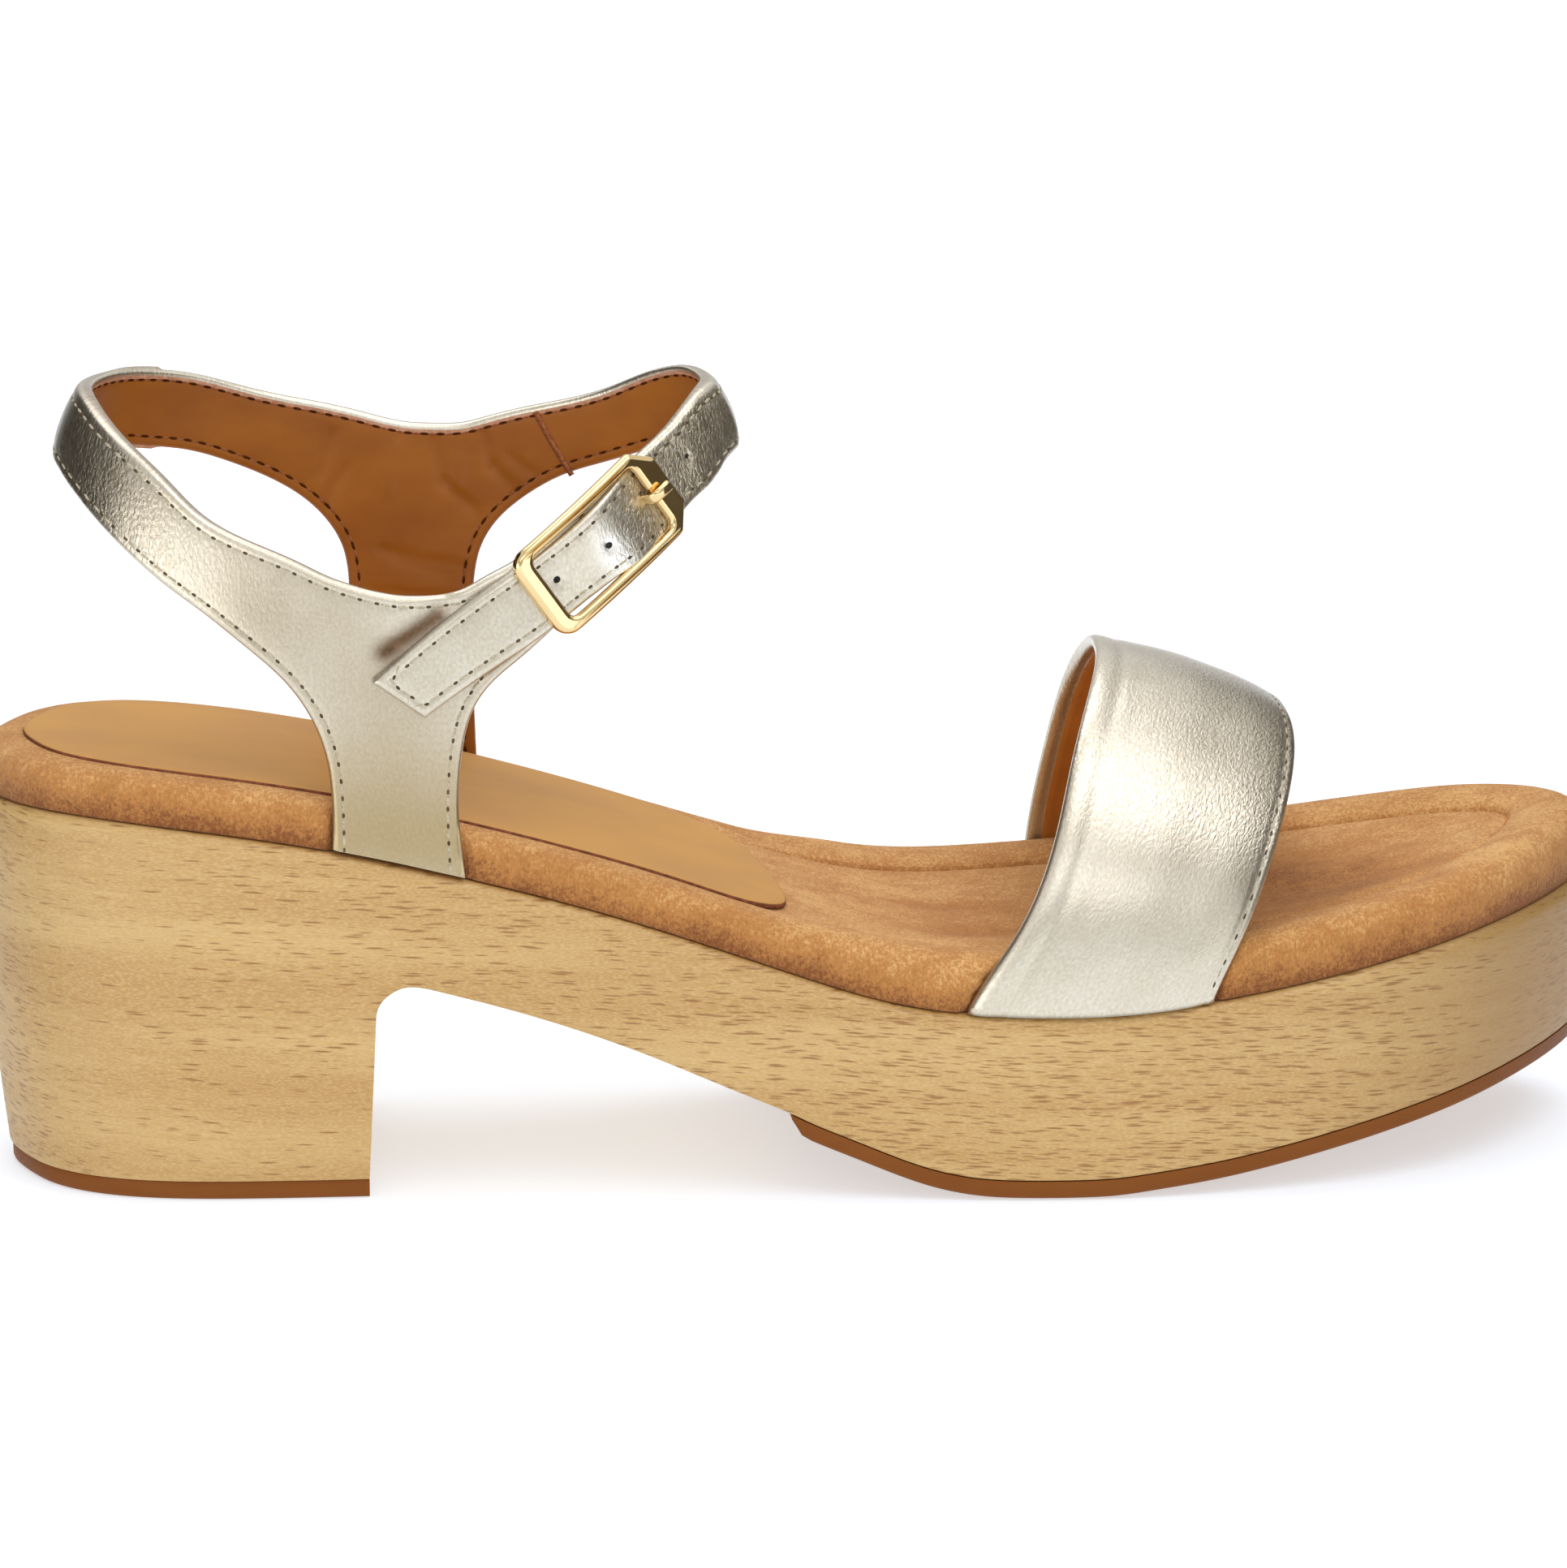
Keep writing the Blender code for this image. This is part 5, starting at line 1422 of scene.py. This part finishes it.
def suede_finish():
    f = Finish("suede_nap", Roughness=0.95, Sheen_Weight=0.25, Sheen_Roughness=0.5)
    f.shader.inputs["Sheen Tint"].default_value = tint(255, 214, 170)
    place = f.place()
    # The stored tone is painted light and shade
    tone = f.stored("tone")
    cloud = f.ramp(f.noise(f.stretch(place, (9, 6, 6)), 3, 0.6), 0.3, 0.7)
    hairs = f.ramp(f.noise(f.stretch(place, (0.34, 0.9, 0.9)), 2, 0.6, 1.2), 0.3, 0.7)
    nap = f.ramp(f.noise(f.stretch(place, (0.5, 0.5, 0.55)), 2, 0.6), 0.34, 0.66)
    mottle = f.ramp(f.noise(f.stretch(place, (2.0, 1.2, 1.3), 5.0), 3, 0.65, 0.8), 0.3, 0.7)
    light = f.math("MULTIPLY", tone, 0.5)
    for part, share in ((cloud, 0.26), (mottle, 0.16), (hairs, 0.26), (nap, 0.3)):
        light = f.math("ADD", light, f.math("MULTIPLY", part, share))
    colour = f.mix(f.ramp(light, -0.15, 0.58), tint(132, 75, 32), tint(188, 127, 65))
    colour = f.mix(f.ramp(light, 0.52, 1.2), colour, tint(226, 177, 112))
    f.feed("Base Color", colour)
    f.bump(f.math("ADD", f.math("MULTIPLY", nap, 0.7), hairs), 0.12, 0.8)
    return f.material


def pad_finish():
    f = Finish("pad_leather_smooth", Specular_IOR_Level=0.35)
    place = f.place()
    cloud = f.noise(f.stretch(place, (22, 14, 14)), 2)
    pores = f.noise(f.stretch(place, (0.5, 0.5, 0.5)), 2)
    f.feed("Base Color", f.mix(f.ramp(cloud, 0.25, 0.75), tint(188, 133, 58), tint(200, 147, 70)))
    f.feed("Roughness", f.ramp(cloud, 0.2, 0.8, 0.5, 0.62))
    f.bump(pores, 0.04, 0.35)
    return f.material


def leather_finish():
    f = Finish("metallic_leather_foil", Metallic=0.92, Coat_Weight=0.5, Coat_Roughness=0.28)
    skin = f.stored("skin", "Vector")
    wrinkle = f.stored("wrinkle")
    waves = f.ramp(f.noise(f.stretch(skin, (1.3, 0.52, 1)), 2, 0.55, 1.2), 0.3, 0.7)
    sway = f.noise(f.stretch(skin, (0.7, 0.7, 1), 7.0), 2)
    cells = f.add("VectorMath", {0: f.stretch(skin, (1.3, 0.8, 1)), 1: sway}, operation="ADD").outputs[0]
    net = {"Vector": cells, "Scale": 1.0, "Randomness": 1.0}
    net = f.add("TexVoronoi", net, voronoi_dimensions="2D", feature="DISTANCE_TO_EDGE").outputs["Distance"]
    folds = f.math("ADD", f.math("MULTIPLY", waves, 0.6), f.ramp(net, 0.0, 0.36, 0.0, 0.4))
    grain = f.noise(f.stretch(skin, (0.6, 0.46, 1), 11.0), 2)
    cloud = f.noise(f.stretch(skin, (9, 9, 1), 3.0), 2)
    # Painted shade: darker in the valleys of the folds, as strongly as the leather wrinkles
    painted_crease_shade = f.math("MULTIPLY", f.math("SUBTRACT", 1.0, folds), wrinkle)
    colour = f.mix(f.ramp(cloud, 0.3, 0.7), tint(216, 207, 187), tint(225, 217, 199))
    colour = f.mix(f.ramp(grain, 0.3, 0.7, 0.0, 0.3), colour, tint(172, 158, 132))
    colour = f.mix(f.math("MULTIPLY", painted_crease_shade, 0.55), colour, tint(160, 144, 117))
    # Painted olive reflection, painted shade and painted highlight laid over the leather's colour
    for name, shade in (("painted_reflection", (156, 127, 60)), ("shade", (98, 68, 36)), ("shine", (250, 247, 238))):
        colour = f.mix(f.stored(name), colour, tint(*shade))
    f.feed("Base Color", colour)
    f.feed("Roughness", f.ramp(cloud, 0.2, 0.8, 0.29, 0.34))
    height = f.math("ADD", f.math("MULTIPLY", folds, wrinkle), f.math("MULTIPLY", grain, 0.25))
    f.bump(height, 0.065, 0.9)
    return f.material


def lining_finish(name, dark, light):
    f = Finish(name, Specular_IOR_Level=0.3)
    place = f.place()
    cloud = f.noise(f.stretch(place, (16, 16, 10)), 3)
    pores = f.noise(f.stretch(place, (0.6, 0.6, 0.6)), 2)
    lines = f.ridges(f.stretch(place, (9, 9, 2.2)), 2, 0.4)
    f.feed("Base Color", f.mix(f.ramp(cloud, 0.25, 0.75), dark, light))
    f.feed("Roughness", f.ramp(cloud, 0.2, 0.8, 0.4, 0.5))
    f.bump(f.math("ADD", f.math("MULTIPLY", lines, 0.3), f.math("MULTIPLY", pores, 0.4)), 0.05, 0.5)
    return f.material


# Plain finishes: dark and light tone, size of the patches, roughness, strength of the shine
PLAIN_FINISHES = {
    "raw_leather_edge": ((176, 122, 92), (205, 156, 124), 1.2, 0.8, 0.5),
    # The needle holes' dark tones are painted shade down in the holes
    "needle_hole": ((72, 60, 44), (104, 90, 70), 0.5, 0.9, 0.0),
    # The punched holes' near-black tones are painted shade down in the holes
    "punched_hole": ((20, 15, 10), (38, 30, 20), 0.5, 0.9, 0.5),
    "thread_pale": ((158, 146, 120), (196, 184, 158), 0.4, 0.7, 0.5),
    "thread_brown": ((120, 62, 26), (164, 96, 46), 0.4, 0.7, 0.5),
    # The lining's needle holes are dark brown: painted shade down in the holes
    "lining_needle_hole": ((58, 28, 12), (86, 44, 20), 0.5, 0.9, 0.0),
    "cut_edge_brown": ((104, 56, 30), (140, 80, 46), 0.8, 0.85, 0.5),
}


def plain_finish(name):
    """A quiet surface whose colour wanders between two tones."""
    dark, light, cell, roughness, shine = PLAIN_FINISHES[name]
    f = Finish(name, Roughness=roughness, Specular_IOR_Level=shine)
    spots = f.noise(f.stretch(f.place(), (cell, cell, cell)), 3)
    f.feed("Base Color", f.mix(f.ramp(spots, 0.3, 0.7), tint(*dark), tint(*light)))
    f.bump(spots, 0.03, 0.4)
    return f.material


def gold_finish():
    f = Finish("gold_polished", Metallic=1.0)
    place = f.place()
    haze = f.noise(f.stretch(place, (5, 5, 5)), 2)
    f.feed("Base Color", f.mix(haze, tint(223, 193, 138), tint(236, 210, 158)))
    f.feed("Roughness", f.ramp(haze, 0.2, 0.8, 0.1, 0.17))
    f.bump(f.noise(f.stretch(place, (1.5, 1.5, 1.5)), 2), 0.01, 0.2)
    return f.material


# Stage

COOL = (0.95, 0.98, 1.06)
# Dark upright sheets that the leather mirrors: name, x, span of y, height, shade
FLAGS = [("flag_left", -0.42, (-0.15, 0.75), 0.55, 0.02), ("flag_right", 0.3, (-0.3, 0.6), 0.3, 0.1)]


def add_light(name, place, aim, size, power, colour=(1, 1, 1)):
    lamp = bpy.data.lights.new(name, "AREA")
    lamp.shape = "RECTANGLE"
    lamp.size, lamp.size_y = size
    lamp.energy = power
    lamp.color = colour
    obj = bpy.data.objects.new(name, lamp)
    bpy.context.scene.collection.objects.link(obj)
    obj.location = place
    obj.rotation_euler = (Vector(aim) - Vector(place)).to_track_quat("-Z", "Y").to_euler()
    obj.visible_camera = False


def stage_plane(name, corners, finish):
    mesh = bpy.data.meshes.new(name)
    mesh.from_pydata(corners, [], [(0, 1, 2, 3)])
    mesh.materials.append(finish)
    obj = bpy.data.objects.new(name, mesh)
    bpy.context.scene.collection.objects.link(obj)
    return obj


def build_stage():
    floor = Finish("floor_white", Roughness=0.9, Specular_IOR_Level=0.1)
    floor.shader.inputs["Base Color"].default_value = (0.57, 0.62, 0.68, 1)
    floor.shader.inputs["Emission Color"].default_value = (1, 1, 1, 1)
    away = floor.add("VectorMath", {0: floor.place()}, operation="LENGTH").outputs["Value"]
    floor.feed("Emission Strength", floor.ramp(away, 300, 1500, 0.56, 1.0))
    far = 20.0
    stage_plane("floor", [(-far, -far, 0), (far, -far, 0), (far, far, 0), (-far, far, 0)], floor.material)
    for name, x, (near, back), top, shade in FLAGS:
        corners = [(x, near, 0), (x, back, 0), (x, back, top), (x, near, top)]
        dark = Finish(name + "_black", Roughness=1.0, Specular_IOR_Level=0.0)
        dark.shader.inputs["Base Color"].default_value = (shade, shade * 0.85, shade * 0.65, 1)
        stage_plane(name, corners, dark.material).visible_camera = False
    add_light("key", (0.38, -0.55, 1.15), (0, 0, 0.05), (1.1, 0.8), 5.2, COOL)
    add_light("front", (0.05, -1.3, 0.58), (0.05, 0, 0.06), (0.7, 0.2), 1.1, COOL)
    add_light("top", (-0.1, 0.45, 1.3), (0, 0, 0.05), (1.2, 0.9), 6, COOL)
    add_light("card_left", (-0.85, -0.88, 0.14), (0, 0, 0.1), (0.8, 0.3), 1.7)
    add_light("card_right", (0.85, -0.9, 0.12), (0, 0, 0.1), (0.5, 0.3), 0.4)
    build_world()
    build_camera()
    bpy.context.scene.view_settings.view_transform = "Standard"


def build_world():
    """A grey studio: darker at the horizon, brighter overhead."""
    world = bpy.data.worlds.new("studio")
    bpy.context.scene.world = world
    world.use_nodes = True
    tree = world.node_tree
    direction = tree.nodes.new("ShaderNodeTexCoord").outputs["Generated"]
    split = tree.nodes.new("ShaderNodeSeparateXYZ")
    tree.links.new(direction, split.inputs[0])
    rise = tree.nodes.new("ShaderNodeMapRange")
    rise.interpolation_type = "SMOOTHSTEP"
    tree.links.new(split.outputs["Z"], rise.inputs["Value"])
    for socket, value in (("From Min", 0.0), ("From Max", 0.5), ("To Min", 0.5), ("To Max", 0.85)):
        rise.inputs[socket].default_value = value
    background = tree.nodes["Background"]
    tree.links.new(rise.outputs[0], background.inputs["Color"])


def build_camera():
    rise, turn = math.radians(CAMERA_RISE_DEG), math.radians(CAMERA_TURN_DEG)
    back = Vector((-math.sin(turn) * math.cos(rise), -math.cos(turn) * math.cos(rise), math.sin(rise)))
    target = Vector((np.array(CAMERA_TARGET) - ORIGIN) * MM)
    lens = bpy.data.cameras.new("camera")
    lens.lens = CAMERA_LENS
    lens.sensor_width = 36.0
    camera = bpy.data.objects.new("camera", lens)
    bpy.context.scene.collection.objects.link(camera)
    camera.location = target + back * CAMERA_DISTANCE * MM
    camera.rotation_euler = (-back).to_track_quat("-Z", "Y").to_euler()
    bpy.context.scene.camera = camera


# The shoe

def build_shoe():
    leather = leather_finish()
    lining = lining_finish("lining_cognac", tint(142, 79, 15), tint(162, 96, 24))
    # A lighter copy of the lining for the toe strap: painted light, where its lining lies in shade
    toe_lining_painted_lighter = lining_finish("toe_lining_cognac_painted_lighter", tint(176, 106, 40), tint(196, 124, 52))
    gold = gold_finish()
    rubber = rubber_finish()
    plain = {name: plain_finish(name) for name in PLAIN_FINISHES}
    build_platform(beech_finish())
    build_heel_lift(rubber)
    build_outsole(rubber)
    build_footbed(suede_finish())
    build_heel_pad([pad_finish(), plain["cut_edge_brown"]])
    build_toe_strap(leather, toe_lining_painted_lighter)
    build_toe_stitches(plain["thread_pale"], plain["needle_hole"])
    outline = build_ankle_upper(leather, plain["raw_leather_edge"], lining)
    names = ("thread_pale", "needle_hole", "thread_brown", "lining_needle_hole")
    build_ankle_stitches(outline, *(plain[name] for name in names))
    build_strap_holes(plain["punched_hole"])
    build_lining_seam(plain["thread_brown"])
    build_buckle_frame(gold)
    build_buckle_prong(gold)


build_shoe()
build_stage()
bpy.context.view_layer.update()
